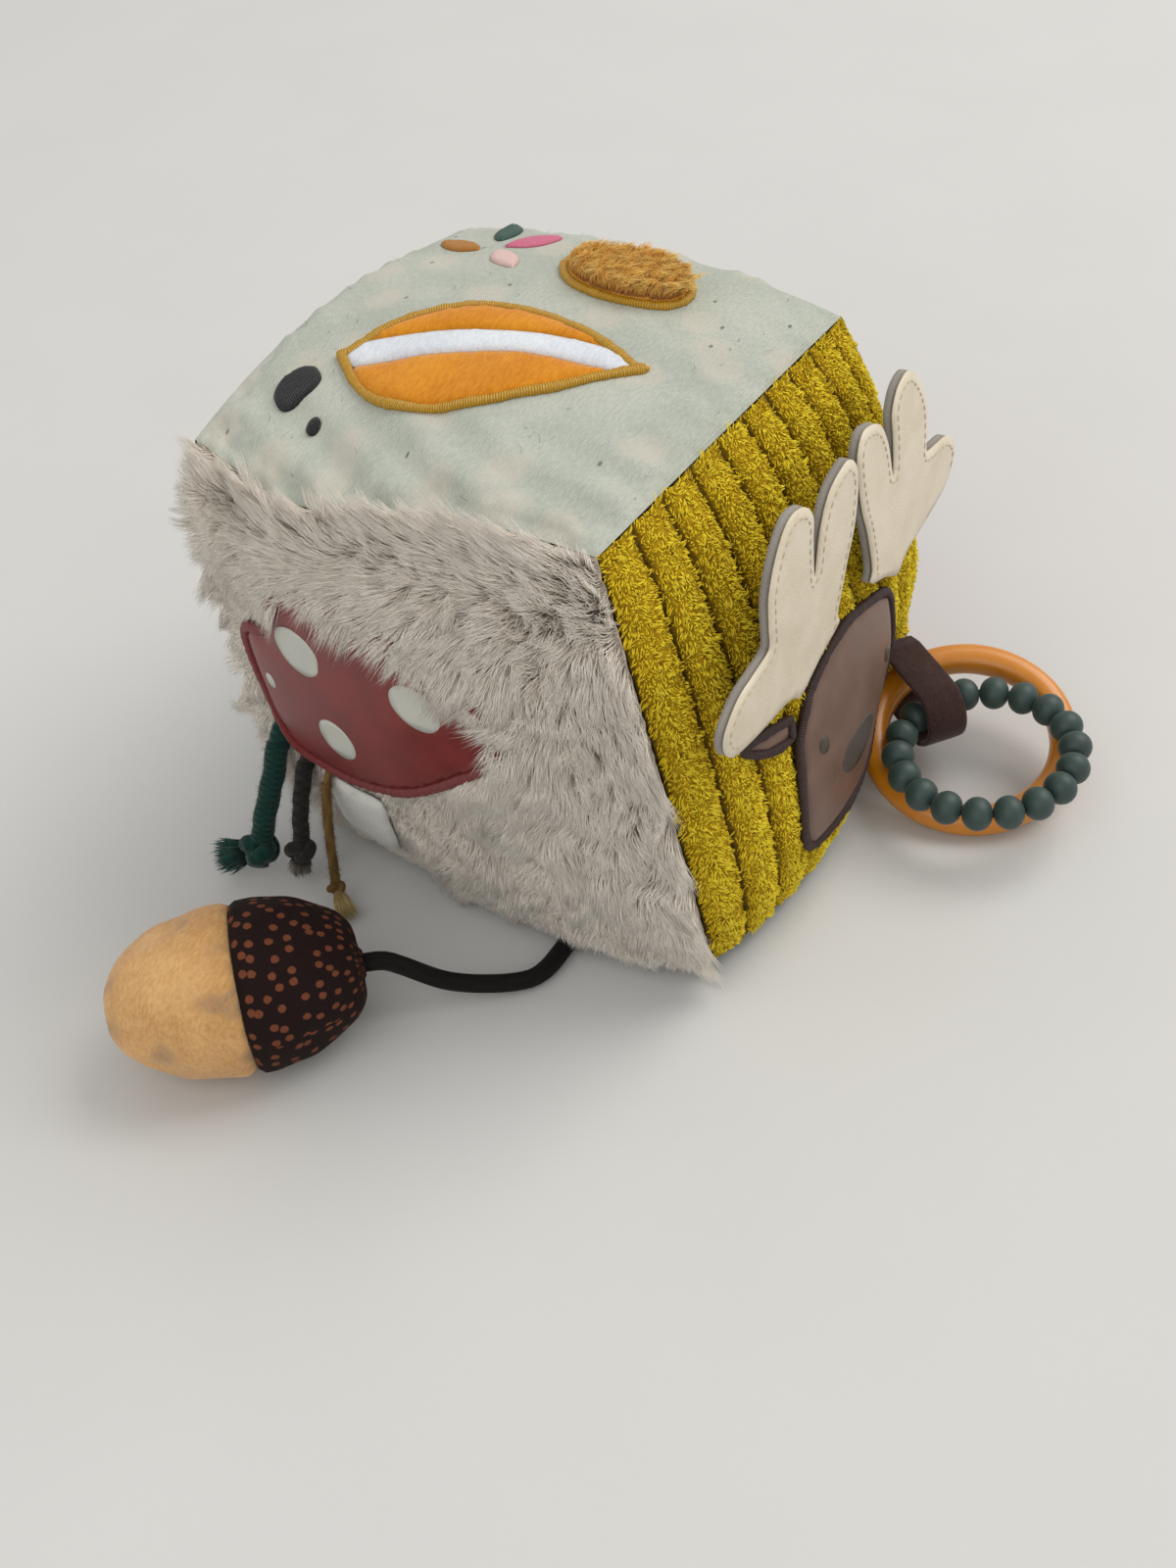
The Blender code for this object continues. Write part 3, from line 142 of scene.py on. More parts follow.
class Paint:
    """A material under construction: its node tree and its one surface shader."""

    def __init__(self, name: str) -> None:
        """Start a material with that name."""
        self.material = bpy.data.materials.new(name)
        self.material.use_nodes = True
        self.tree = self.material.node_tree
        self.shader = self.tree.nodes["Principled BSDF"]
        self.place = self.node("ShaderNodeTexCoord", output="Object")
        self.cloth = self.node("ShaderNodeUVMap", {"uv_map": "UVMap"})

    def node(self, kind: str, settings: dict | None = None, sockets: dict | None = None,
             output: int | str = 0) -> Value:
        """Add any node.

        Args:
            kind: the node's type.
            settings: its own settings, set first.
            sockets: values or links of its inputs, by name or number.
            output: the output wanted.

        Returns:
            The wanted output.
        """
        made = self.tree.nodes.new(kind)
        for key, value in (settings or {}).items():
            setattr(made, key, value)
        for key, value in (sockets or {}).items():
            if value is not None:
                self.feed(made.inputs[key], value)
        return Value(self, made.outputs[output])

    def feed(self, socket: bpy.types.NodeSocket, value: object) -> None:
        """Link a value to a socket, or set the socket.

        Args:
            socket: the input.
            value: a value, a number or a colour.
        """
        if isinstance(value, Value):
            self.tree.links.new(value.socket, socket)
        else:
            socket.default_value = value

    def mix(self, factor: object, first: object, second: object) -> Value:
        """Return the first colour blended towards the second."""
        return self.node("ShaderNodeMix", {"data_type": "RGBA"}, {0: factor, 6: first, 7: second}, 2)

    def stretch(self, vector: Value, scale: tuple, turn: tuple = (0.0, 0.0, 0.0)) -> Value:
        """Return a coordinate turned and scaled on each axis."""
        return self.node("ShaderNodeMapping", None, {"Vector": vector, "Scale": scale, "Rotation": turn})

    def noise(self, size: float, detail: float = 2.0, rough: float = 0.5,
              vector: Value | None = None) -> Value:
        """Return noise from 0 to 1 with features of that size."""
        return self.node("ShaderNodeTexNoise", None, {"Vector": vector or self.place, "Scale": 1 / size,
                                                      "Detail": detail, "Roughness": rough})

    def cells(self, size: float, random: float, vector: Value | None = None, flat: bool = False) -> Value:
        """Return the distance to the nearest of scattered points, in cell sizes."""
        return self.node("ShaderNodeTexVoronoi", {"voronoi_dimensions": "2D" if flat else "3D"},
                         {"Vector": vector or self.place, "Scale": 1 / size, "Randomness": random},
                         "Distance")

    def along(self, axis: int) -> Value:
        """Return one axis of the piece's own map."""
        return self.node("ShaderNodeSeparateXYZ", None, {0: self.cloth}, axis)


# Finishes

GLOSSY_BELOW = 0.7
HAIR_OVER_FLOOR = 0.4 * MM
PAD_INSET = 2.2 * MM
BORDER_INSET = 1.4 * MM
PATCH_LIFT = 0.5 * MM
CROWN_REACH = 10 * MM
CAP_SIZE = (0.110, 0.094)
CAP_AT = (-0.0175, 0.0090)
STEM_SIZE = (0.038, 0.038)
STEM_AT = (-0.0442, -0.0607)


@dataclass(frozen=True)
class Finish:
    """A material with a light and a dark colour, a grain size and a bump depth in metres."""

    name: str
    light: tuple
    dark: tuple
    roughness: float = 0.9
    sheen: float = 0.0
    coat: float = 0.0
    size: float = 0.0008
    depth: float = 0.00025
    inside: float = 0.0

    def blend(self, paint: Paint, tone: Value) -> Value:
        """Return the dark colour blended towards the light one."""
        return paint.mix(tone, linear(self.dark), linear(self.light))

    def surface(self, paint: Paint) -> tuple:
        """Draw soft patches and a fine grain. Every kind of finish has its own drawing.

        Args:
            paint: the material under construction.

        Returns:
            The colour, and the height of the surface or None.
        """
        grain = paint.noise(self.size, 3.0, 0.7)
        return self.blend(paint, paint.noise(self.size * 25, 3.0).step(0.3, 0.7) * 0.5 + grain * 0.5), grain

    def material(self) -> bpy.types.Material:
        """Make the material, unless it has been made.

        Returns:
            The material.
        """
        name = f"{self.name}_finish"
        if name in bpy.data.materials:
            return bpy.data.materials[name]
        paint = Paint(name)
        sockets = paint.shader.inputs
        colour, height = self.surface(paint)
        paint.feed(sockets["Base Color"], colour)
        numbers = {"Roughness": self.roughness, "Sheen Weight": self.sheen, "Sheen Roughness": 0.4,
                   "Coat Weight": self.coat, "Coat Roughness": 0.3,
                   "Specular IOR Level": 0.5 if self.roughness < GLOSSY_BELOW else 0.25}
        if self.inside:
            numbers |= {"Subsurface Weight": self.inside, "Subsurface Radius": (1.0, 0.5, 0.2),
                        "Subsurface Scale": 4 * MM}
        for socket, number in numbers.items():
            sockets[socket].default_value = number
        if height is not None:
            sunk = {"Height": height, "Distance": self.depth, "Strength": 1.0}
            paint.feed(sockets["Normal"], paint.node("ShaderNodeBump", None, sunk, "Normal"))
        return paint.material


@dataclass(frozen=True)
class Nap(Finish):
    """Short brushed pile: streaks along one way, soft patches where it was stroked, and any stains."""

    stain: tuple | None = None

    def surface(self, paint: Paint) -> tuple:
        """Mix the colours by wide patches, streaks and fine noise, and stain some places.

        Args:
            paint: the material under construction.

        Returns:
            The colour and the height.
        """
        brushed = paint.stretch(paint.place, (1.0, 0.35, 0.6), (0.3, 0.2, 0.5))
        streaks = paint.noise(self.size, 3.0, 0.65, brushed)
        patches = paint.noise(self.size * 22, 3.0, 0.6).step(0.32, 0.68)
        colour = self.blend(paint, patches * 0.45 + streaks.step(0.3, 0.7) * 0.55)
        if self.stain:
            where = paint.noise(16 * MM, 2.0, 0.6).step(0.52, 0.68) * streaks.step(0.2, 0.8)
            colour = paint.mix(where * 0.8, colour, linear(self.stain))
        return colour, streaks + paint.noise(self.size * 0.5, 2.0) * 0.6


@dataclass(frozen=True)
class Plush(Finish):
    """Curly nap on ribs: the map's second axis is the height on the rib, from valley to crown, and sets the
    painted shade in the valleys.
    """

    def surface(self, paint: Paint) -> tuple:
        """Paint shade into the valleys and into the gaps between curls.

        Args:
            paint: the material under construction.

        Returns:
            The colour and the height.
        """
        curls = paint.cells(self.size, 1.0)
        fine = paint.noise(self.size * 0.4, 3.0, 0.7)
        # painted shade: lower on the rib and deeper between curls is darker
        tone = paint.along(1).step(0.05, 0.95) * 0.75 + fine * 0.35 - curls * 0.35
        return self.blend(paint, tone), fine - curls * 1.2


@dataclass(frozen=True)
class Hair(Finish):
    """Pile hairs: the map's first axis is a tone for each hair and its second runs from root to tip."""

    root: tuple = (120, 110, 100)

    def surface(self, paint: Paint) -> tuple:
        """Blend each hair from its darker root colour, which is painted shade at the hairs' feet, to its own
        tip colour.
        """
        tip = self.blend(paint, paint.along(0))
        # painted shade: the root colour darkens each hair towards its foot
        return paint.mix(paint.along(1).step(0.0, 0.75), linear(self.root), tip), None


@dataclass(frozen=True)
class Knit(Finish):
    """Melange jersey: fine columns of stitches, faint printed blotches and specks of lint."""

    blotch: tuple = (206, 196, 184)
    lint: tuple = (70, 72, 70)

    def surface(self, paint: Paint) -> tuple:
        """Lay a stitch relief over mixed fibres, then the blotches and the lint.

        Args:
            paint: the material under construction.

        Returns:
            The colour and the height.
        """
        u, v = paint.along(0), paint.along(1)
        zigzag = (u / self.size).maths("PINGPONG", 0.5)
        stitches = u.wave(self.size) * 0.6 + (v + zigzag * self.size).wave(self.size * 0.8) * 0.4
        fibres = paint.noise(1.0 * MM, 3.0, 0.75, paint.stretch(paint.cloth, (1.0, 0.35, 1.0)))
        tone = fibres.step(0.25, 0.75) * 0.65 + paint.noise(22 * MM, 3.0).step(0.3, 0.7) * 0.35
        warped = paint.cells(34 * MM, 0.9, paint.cloth, True) + paint.noise(8 * MM, 2.0) * 0.25
        spots = 1 - warped.step(0.26, 0.44)
        colour = paint.mix(spots * 0.40, self.blend(paint, tone), linear(self.blotch))
        fluff = paint.stretch(paint.cloth, (1.0, 0.6, 1.0))
        specks = 1 - paint.cells(30 * MM, 1.0, fluff, True).step(0.012, 0.030)
        return paint.mix(specks * 0.7, colour, linear(self.lint)), stitches + fibres * 0.8


@dataclass(frozen=True)
class Thread(Finish):
    """Satin stitch: threads lie side by side across the map's first axis."""

    def surface(self, paint: Paint) -> tuple:
        """Round each thread, paint shade into the grooves between threads, and let some lie darker than
        others.

        Args:
            paint: the material under construction.

        Returns:
            The colour and the height.
        """
        run = paint.along(0) + (paint.noise(1.2 * MM, 2.0) - 0.5) * (self.size * 0.8)
        threads = run.wave(self.size)
        # painted shade: the grooves between threads are darker
        tone = threads.step(0.1, 0.8) * 0.6 + paint.noise(0.9 * MM, 3.0, 0.6) * 0.5
        return self.blend(paint, tone), threads


@dataclass(frozen=True)
class Leather(Finish):
    """Smooth leatherette: a fine pebble grain, soft patches and a slightly uneven gloss."""

    def surface(self, paint: Paint) -> tuple:
        """Press a pebble grain and vary the gloss a little.

        Args:
            paint: the material under construction.

        Returns:
            The colour and the height.
        """
        pebble = paint.cells(self.size, 0.9).step(0.0, 0.6)
        slow = paint.noise(12 * MM, 2.0)
        paint.feed(paint.shader.inputs["Roughness"], slow * 0.18 + (self.roughness - 0.09))
        tone = slow.step(0.3, 0.7) * 0.6 + paint.noise(1.2 * MM, 3.0) * 0.4
        return self.blend(paint, tone), pebble + slow * 2.0


@dataclass(frozen=True)
class Braid(Finish):
    """Soft twisted cord: slanting strands over the map's length in metres and share of the way round."""

    strands: float = 3.0

    def surface(self, paint: Paint) -> tuple:
        """Cross two slanting waves, paint shade into the grooves between the strands, and roughen them with
        fibres.

        Args:
            paint: the material under construction.

        Returns:
            The colour and the height.
        """
        run = paint.along(0) / self.size
        turn = paint.along(1) * self.strands
        over = (run + turn).wave(1.0) + (run - turn).wave(1.0)
        fuzz = paint.noise(0.5 * MM, 3.0, 0.7)
        # painted shade: over, the strands' relief, also darkens the grooves
        return self.blend(paint, over * 0.3 + fuzz.step(0.3, 0.75) * 0.5), over * 0.6 + fuzz


@dataclass(frozen=True)
class Dotted(Finish):
    """Printed cloth: scattered round dots over a map in metres."""

    dot: tuple = (116, 64, 42)

    def surface(self, paint: Paint) -> tuple:
        """Scatter the dots and lay a fine weave over all of it.

        Args:
            paint: the material under construction.

        Returns:
            The colour and the height.
        """
        away = paint.cells(5 * MM, 0.70, paint.cloth, True) + (paint.noise(1.1 * MM, 2.0) - 0.5) * 0.13
        weave = paint.along(0).wave(self.size) * paint.along(1).wave(self.size)
        fuzz = paint.noise(0.5 * MM, 3.0, 0.7)
        dots = (1 - away.step(0.19, 0.26)) * (fuzz * 0.5 + 0.65)
        return paint.mix(dots, self.blend(paint, fuzz), linear(self.dot)), weave * 0.5 + fuzz


# each Hair's root colour is painted shade at the foot of its hairs
FUR = Hair("fur_hair", (252, 246, 237), (236, 228, 216), 0.95, 0.15, root=(218, 207, 194))
FUR_BACKING = Finish("fur_backing", (220, 209, 196), (196, 184, 170), 0.98, size=0.0012, depth=0.0006)
# PLUSH's dark colour is the painted shade in the valleys between ribs
PLUSH = Plush("rib_plush", (206, 168, 18), (84, 62, 2), 0.95, 0.0, size=0.0013, depth=0.0006)
PLUSH_HAIR = Hair("rib_nap", (254, 232, 56), (236, 202, 26), 0.95, 0.05, root=(178, 144, 12))
JERSEY = Knit("sage_knit", (194, 198, 187), (162, 169, 159), 0.93, 0.05, size=0.0009, depth=0.00012)
RED_VELOUR = Nap("red_nap", (176, 66, 54), (138, 44, 36), 0.92, 0.3)
GREEN_VELOUR = Nap("green_nap", (66, 98, 88), (44, 72, 64), 0.92, 0.3)
ORANGE_VELOUR = Nap("orange_nap", (224, 150, 36), (196, 118, 16), 0.9, 0.25, size=0.0009)
WHITE_PLUSH = Nap("white_nap", (226, 231, 238), (200, 206, 216), 0.92, 0.2, size=0.0008)
GOLD = Thread("gold_thread", (212, 164, 40), (140, 96, 8), 0.42, 0.0, size=0.00075, depth=0.00022)
GOLD_FUR = Hair("golden_hair", (255, 224, 140), (248, 196, 100), 0.93, 0.1, root=(236, 176, 78))
GOLD_BACKING = Nap("golden_nap", (232, 172, 74), (204, 142, 48), 0.93, 0.2)
BLACK_SATIN = Thread("black_thread", (48, 48, 54), (10, 10, 14), 0.5, 0.0, size=0.0008, depth=0.0004)
PINK_SATIN = Thread("pink_thread", (226, 126, 156), (192, 88, 122), 0.5, 0.0, size=0.0007, depth=0.0002)
PALE_SATIN = Thread("pale_thread", (240, 208, 202), (216, 178, 172), 0.5, 0.0, size=0.0007, depth=0.0002)
BROWN_SATIN = Thread("ochre_thread", (196, 130, 40), (154, 96, 20), 0.5, 0.0, size=0.0007, depth=0.0002)
LEAF_SATIN = Thread("leaf_thread", (58, 96, 84), (34, 66, 56), 0.5, 0.0, size=0.0007, depth=0.0002)
BROWN_LEATHER = Leather("brown_leather", (118, 90, 76), (98, 73, 61), 0.42, 0.0, 0.12, size=0.0006,
                        depth=0.00005)
DARK_PRINT = Leather("dark_print", (76, 66, 58), (62, 54, 48), 0.45, 0.0, 0.1, size=0.0006, depth=0.00004)
DARK_SATIN = Thread("dark_thread", (62, 36, 32), (32, 17, 16), 0.6, 0.0, size=0.0007, depth=0.00025)
CREAM_LEATHER = Leather("cream_leather", (228, 217, 197), (214, 201, 178), 0.5, 0.0, 0.05, size=0.0007,
                        depth=0.00006)
CREAM_THREAD = Finish("cream_thread", (206, 192, 168), (176, 160, 134), 0.6, size=0.0004, depth=0.0001)
GREY_FELT = Finish("grey_felt", (166, 161, 154), (132, 127, 121), 0.97, 0.1, size=0.0007, depth=0.0004)
RED_LEATHER = Leather("red_leather", (126, 46, 44), (104, 35, 34), 0.36, 0.0, 0.12, size=0.0006,
                      depth=0.00004)
PALE_PRINT = Leather("pale_print", (196, 198, 189), (182, 184, 176), 0.45, 0.0, 0.05, size=0.0006,
                     depth=0.00004)
RED_SATIN = Thread("red_thread", (140, 32, 32), (84, 12, 16), 0.5, 0.1, size=0.0007, depth=0.00028)
WHITE_CLOTH = Nap("white_cloth", (218, 219, 214), (198, 198, 192), 0.85, 0.1, size=0.0006, depth=0.00012)
GREEN_CORD = Braid("green_braid", (20, 66, 58), (6, 32, 28), 0.95, 0.25, size=0.0020, depth=0.00025)
BLACK_CORD = Braid("black_braid", (50, 48, 46), (16, 16, 16), 0.95, 0.15, size=0.0034, depth=0.0005,
                   strands=2.0)
TAN_CORD = Braid("tan_braid", (124, 96, 48), (82, 58, 22), 0.7, 0.1, size=0.0120, depth=0.0002, strands=2.0)
GREEN_FRAY = Hair("green_fray", (26, 84, 74), (12, 50, 44), 0.95, 0.2, root=(8, 38, 34))
GREY_FRAY = Hair("grey_fray", (150, 142, 134), (92, 86, 80), 0.95, 0.1, root=(40, 38, 36))
TAN_FRAY = Hair("tan_fray", (222, 200, 146), (180, 154, 98), 0.8, 0.1, root=(158, 128, 74))
STRAP = Nap("brown_webbing", (68, 46, 41), (42, 27, 24), 0.92, 0.2, size=0.0006)
AMBER = Finish("amber_rubber", (212, 140, 34), (196, 122, 22), 0.30, 0.0, 0.25, size=0.004,
               depth=0.00001, inside=0.55)
TEAL = Finish("teal_rubber", (50, 72, 68), (38, 57, 54), 0.52, 0.08, 0.04, size=0.0012, depth=0.00001,
              inside=0.08)
DARK_CORD = Braid("dark_cord", (22, 16, 15), (10, 7, 6), 0.85, 0.03, size=0.0200, depth=0.0002, strands=6.0)
BEIGE_VELOUR = Nap("beige_nap", (222, 178, 122), (186, 138, 84), 0.92, 0.25, size=0.0008, stain=(120,
                   104, 96))
SPOTTED = Dotted("spotted_print", (30, 10, 8), (18, 5, 4), 0.9, 0.0, size=0.0005, depth=0.00015)
SEAM = Finish("seam_lining", (150, 142, 122), (120, 112, 96), 0.97, size=0.001, depth=0.0003)


# Mesh helpers

def grid_faces(rows: int, cols: int, wrap_rows: bool = False, wrap_cols: bool = False) -> tuple:
    """Return the quads of a grid of points.

    Args:
        rows: points along the first parameter.
        cols: points along the second parameter.
        wrap_rows: whether the last row joins the first.
        wrap_cols: whether the last column joins the first.

    Returns:
        (n, 4) point numbers, and (n, 4, 2) row and column numbers that don't wrap.
    """
    i, j = (g.ravel() for g in np.meshgrid(np.arange(rows if wrap_rows else rows - 1),
                                           np.arange(cols if wrap_cols else cols - 1), indexing="ij"))
    steps = np.stack([np.stack([i + a, j + b], 1) for a, b in ((0, 0), (1, 0), (1, 1), (0, 1))], axis=1)
    return (steps[..., 0] % rows) * cols + steps[..., 1] % cols, steps


def fans(rows: int, cols: int) -> Array:
    """Return the triangles that close a tube of points.

    Args:
        rows: rings of the tube.
        cols: points of a ring.

    Returns:
        (2 cols, 3) point numbers, where the two tips follow the tube's points.
    """
    k = np.arange(cols)
    after = (k + 1) % cols
    last = (rows - 1) * cols
    tip = np.full(cols, rows * cols)
    return np.concatenate([np.stack([k, after, tip], 1), np.stack([last + after, last + k, tip + 1], 1)])


def angles(count: int) -> Array:
    """Return evenly spaced angles of a full turn."""
    return 2 * math.pi * np.arange(count) / count


def circle(x: Array, y: Array, count: int) -> Array:
    """Return evenly spaced points of the circle of radius 1 that runs from x towards y."""
    return np.cos(angles(count))[:, None] * x + np.sin(angles(count))[:, None] * y


def unit(vectors: Array) -> Array:
    """Return rows scaled to length 1."""
    return vectors / np.linalg.norm(vectors, axis=1)[:, None]


def net(line: Array) -> tuple:
    """Return both coordinates of all crossings of a square net."""
    return tuple(g.ravel() for g in np.meshgrid(line, line, indexing="ij"))


def turned(points: Array, degrees: float) -> Array:
    """Return flat points turned anticlockwise."""
    cos, sin = math.cos(math.radians(degrees)), math.sin(math.radians(degrees))
    return points @ np.array([[cos, sin], [-sin, cos]])


def outward(mesh: bpy.types.Mesh, weld: float = 0.0) -> None:
    """Turn a mesh's faces outwards.

    Args:
        mesh: the mesh.
        weld: points closer than this are merged first.
    """
    bm = bmesh.new()
    bm.from_mesh(mesh)
    if weld:
        bmesh.ops.remove_doubles(bm, verts=bm.verts[:], dist=weld)
    bmesh.ops.recalc_face_normals(bm, faces=bm.faces[:])
    bm.to_mesh(mesh)
    bm.free()


def build(name: str, verts: Array, faces: list, maps: list | None = None,
          recalc: bool = True) -> Piece:
    """Make a mesh object at the origin.

    Args:
        name: the piece's name.
        verts: (n, 3) points.
        faces: arrays of faces, one array for each number of corners.
        maps: for each of these arrays, the map coordinates of its corners.
        recalc: whether to turn the faces of a closed mesh outwards.

    Returns:
        The object.
    """
    mesh = bpy.data.meshes.new(name)
    corners = np.concatenate([f.ravel() for f in faces]).astype(np.int32)
    sizes = np.concatenate([np.full(len(f), f.shape[1]) for f in faces])
    mesh.vertices.add(len(verts))
    mesh.vertices.foreach_set("co", np.ascontiguousarray(verts, dtype=np.float32).ravel())
    mesh.loops.add(len(corners))
    mesh.loops.foreach_set("vertex_index", corners)
    mesh.polygons.add(len(sizes))
    mesh.polygons.foreach_set("loop_start", np.concatenate([[0], np.cumsum(sizes)[:-1]]).astype(np.int32))
    mesh.update(calc_edges=True)
    if maps is not None:
        flat = np.concatenate([m.reshape(-1, 2) for m in maps]).astype(np.float32)
        mesh.uv_layers.new(name="UVMap").uv.foreach_set("vector", flat.ravel())
    if recalc:
        outward(mesh)
    mesh.shade_smooth()
    obj = bpy.data.objects.new(name, mesh)
    bpy.context.scene.collection.objects.link(obj)
    return obj


def dress(obj: Piece, finish: Finish, body: str, nodes: tuple) -> Piece:
    """Give a piece its finish and its place in the frame, and report it.

    Args:
        obj: the piece.
        finish: its finish.
        body: the body that it rides on.
        nodes: the nodes that it stands for.

    Returns:
        The piece.
    """
    obj.data.materials.clear()
    obj.data.materials.append(finish.material())
    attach(obj, body)
    if nodes:
        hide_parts(*nodes)
    LOG.info("%s: %d faces on %s", obj.name, len(obj.data.polygons), body)
    return obj


def ripple(points: Array, size: float, seed: int, waves: int = 28) -> Array:
    """Return smooth noise: the scaled sum of sine waves of about one size in seeded directions.

    Args:
        points: (n, k) points.
        size: wavelength.
        seed: of the directions and phases.
        waves: how many waves.

    Returns:
        (n,) values, about -1 to 1.
    """
    rng = np.random.default_rng(seed)
    ways = rng.normal(size=(waves, points.shape[1]))
    ways *= (2 * math.pi / size * rng.uniform(0.7, 1.4, waves) / np.linalg.norm(ways, axis=1))[:, None]
    return np.sin(points @ ways.T + rng.uniform(0, 2 * math.pi, waves)).sum(1) / math.sqrt(waves)


def two_ripples(points: Array, size: float, seed: int) -> Array:
    """Return two columns of smooth noise, from this seed and the next."""
    return np.stack([ripple(points, size, seed), ripple(points, size, seed + 1)], 1)


def spans(a: Array, b: Array, c: Array, d: Array, count: int) -> Array:
    """Return points of Catmull-Rom spans from b to c.

    It is 0.5 * (2b + (c - a) t + (2a - 5b + 4c - d) t^2 + (3b - a - 3c + d) t^3), for t from 0 to 1.

    Args:
        a: (n, k) points before b.
        b: (n, k) starts of the spans.
        c: (n, k) ends of the spans.
        d: (n, k) points after c.
        count: points of each span.

    Returns:
        (n * count, k) points.
    """
    t = (np.arange(count) / count)[None, :, None]
    a, b, c, d = (p[:, None, :] for p in (a, b, c, d))
    curve = 0.5 * (2 * b + (c - a) * t + (2 * a - 5 * b + 4 * c - d) * t ** 2 + (3 * b - a - 3 * c + d)
                   * t ** 3)
    return curve.reshape(-1, b.shape[-1])


def smooth_loop(points: Array) -> Array:
    """Return a closed smooth curve through points, with six points for each span."""
    return spans(np.roll(points, 1, 0), points, np.roll(points, -1, 0), np.roll(points, -2, 0), 6)


def smooth_route(points: Array, count: int) -> Array:
    """Return evenly spaced points of an open smooth curve.

    Args:
        points: (n, k) points that it goes through.
        count: how many points are wanted.

    Returns:
        (count, k) points.
    """
    p = np.array(points, float)
    p = np.concatenate([[2 * p[0] - p[1]], p, [2 * p[-1] - p[-2]]])
    fine = spans(*(p[k:len(p) - 3 + k] for k in range(4)), 24)
    return even(np.concatenate([fine, p[-2:-1]]), count)


def length_of(line: Array) -> float:
    """Return the length of an open line of points."""
    return float(np.linalg.norm(np.diff(line, axis=0), axis=1).sum())


def run_along(line: Array) -> Array:
    """Return the distance of each point of a line from its start."""
    return np.concatenate([[0], np.cumsum(np.linalg.norm(np.diff(line, axis=0), axis=1))])


def even(points: Array, count: int) -> Array:
    """Return points at equal steps along an open line.

    Args:
        points: (n, k) points of the line.
        count: how many points are wanted.

    Returns:
        (count, k) points.
    """
    run = run_along(points)
    steps = np.linspace(0, run[-1], count)
    return np.stack([np.interp(steps, run, points[:, k]) for k in range(points.shape[1])], axis=1)


def even_loop(points: Array, step: float) -> Array:
    """Return points about one step apart round a closed line."""
    closed = np.concatenate([points, points[:1]])
    return even(closed, max(8, int(round(length_of(closed) / step))) + 1)[:-1]


def edge_distance(points: Array, loop: Array) -> Array:
    """Return how far flat points are from an outline: the least distance to any of its edges.

    Args:
        points: (n, 2) points.
        loop: (m, 2) closed outline.

    Returns:
        (n,) distances.
    """
    side = np.roll(loop, -1, 0) - loop
    away = points[:, None, :] - loop[None, :, :]
    run = np.clip(np.sum(away * side, axis=2) / np.maximum(np.sum(side * side, axis=1), 1e-18), 0, 1)
    return np.linalg.norm(away - run[:, :, None] * side, axis=2).min(axis=1)


def inside(points: Array, loop: Array) -> Array:
    """Return which flat points are inside an outline, by counting its edges to their right.

    Args:
        points: (n, 2) points.
        loop: (m, 2) closed outline.

    Returns:
        (n,) true or false.
    """
    x, y = points[:, :1], points[:, 1:2]
    x0, y0 = loop.T
    x1, y1 = np.roll(loop, -1, 0).T
    rise = np.where(y1 == y0, 1e-12, y1 - y0)
    hit = ((y0 > y) != (y1 > y)) & (x < (x1 - x0) * (y - y0) / rise + x0)
    return hit.sum(axis=1) % 2 == 1


def inset(loop: Array, distance: float) -> Array:
    """Return an outline moved inwards, without the points that end up too near to the old one.

    Args:
        loop: (m, 2) closed outline.
        distance: how far.

    Returns:
        (k, 2) closed outline.
    """
    along = unit(np.roll(loop, -1, 0) - np.roll(loop, 1, 0))
    area = np.sum(loop[:, 0] * np.roll(loop[:, 1], -1) - np.roll(loop[:, 0], -1) * loop[:, 1])
    inward = np.stack([-along[:, 1], along[:, 0]], 1) * (1 if area > 0 else -1)
    moved = loop + inward * distance
    return moved[edge_distance(moved, loop) > abs(distance) * 0.97]


def fill(loop: Array, cell: float) -> tuple:
    """Fill a flat outline with triangles.

    Args:
        loop: the outline.
        cell: size of the grid of points inside it.

    Returns:
        The points, of which the outline's come first in order, and the triangles.
    """
    xs, ys = (np.arange(a + cell / 2, b, cell) for a, b in zip(loop.min(0), loop.max(0)))
    grid = np.stack([g.ravel() for g in np.meshgrid(xs, ys)], axis=1)
    grid = grid[inside(grid, loop)]
    grid = grid[edge_distance(grid, loop) > cell * 0.5]
    points = np.concatenate([loop, grid]) / MM
    edges = [(k, (k + 1) % len(loop)) for k in range(len(loop))]
    made = delaunay_2d_cdt([Vector(p) for p in points], edges, [], 1, 1e-5)
    return np.array([v[:] for v in made[0]]) * MM, np.array([f[:] for f in made[2]])


def slab(name: str, upper: Array, lower: Array, tris: Array, rim: int,
         flat: Array) -> Piece:
    """Make a closed piece from its two faces and the wall between their rims.

    Args:
        name: the piece's name.
        upper: (n, 3) points of the upper face, with its rim first.
        lower: (n, 3) points below them.
        tris: the triangles of a face.
        rim: how many points the rim has.
        flat: (n, 2) map coordinates.

    Returns:
        The object.
    """
    n = len(upper)
    k = np.arange(rim)
    after = (k + 1) % rim
    faces = [tris, tris[:, ::-1] + n, np.stack([k, after, n + after, n + k], 1)]
    both = np.concatenate([flat, flat])
    return build(name, np.concatenate([upper, lower]), faces, [both[f] for f in faces])


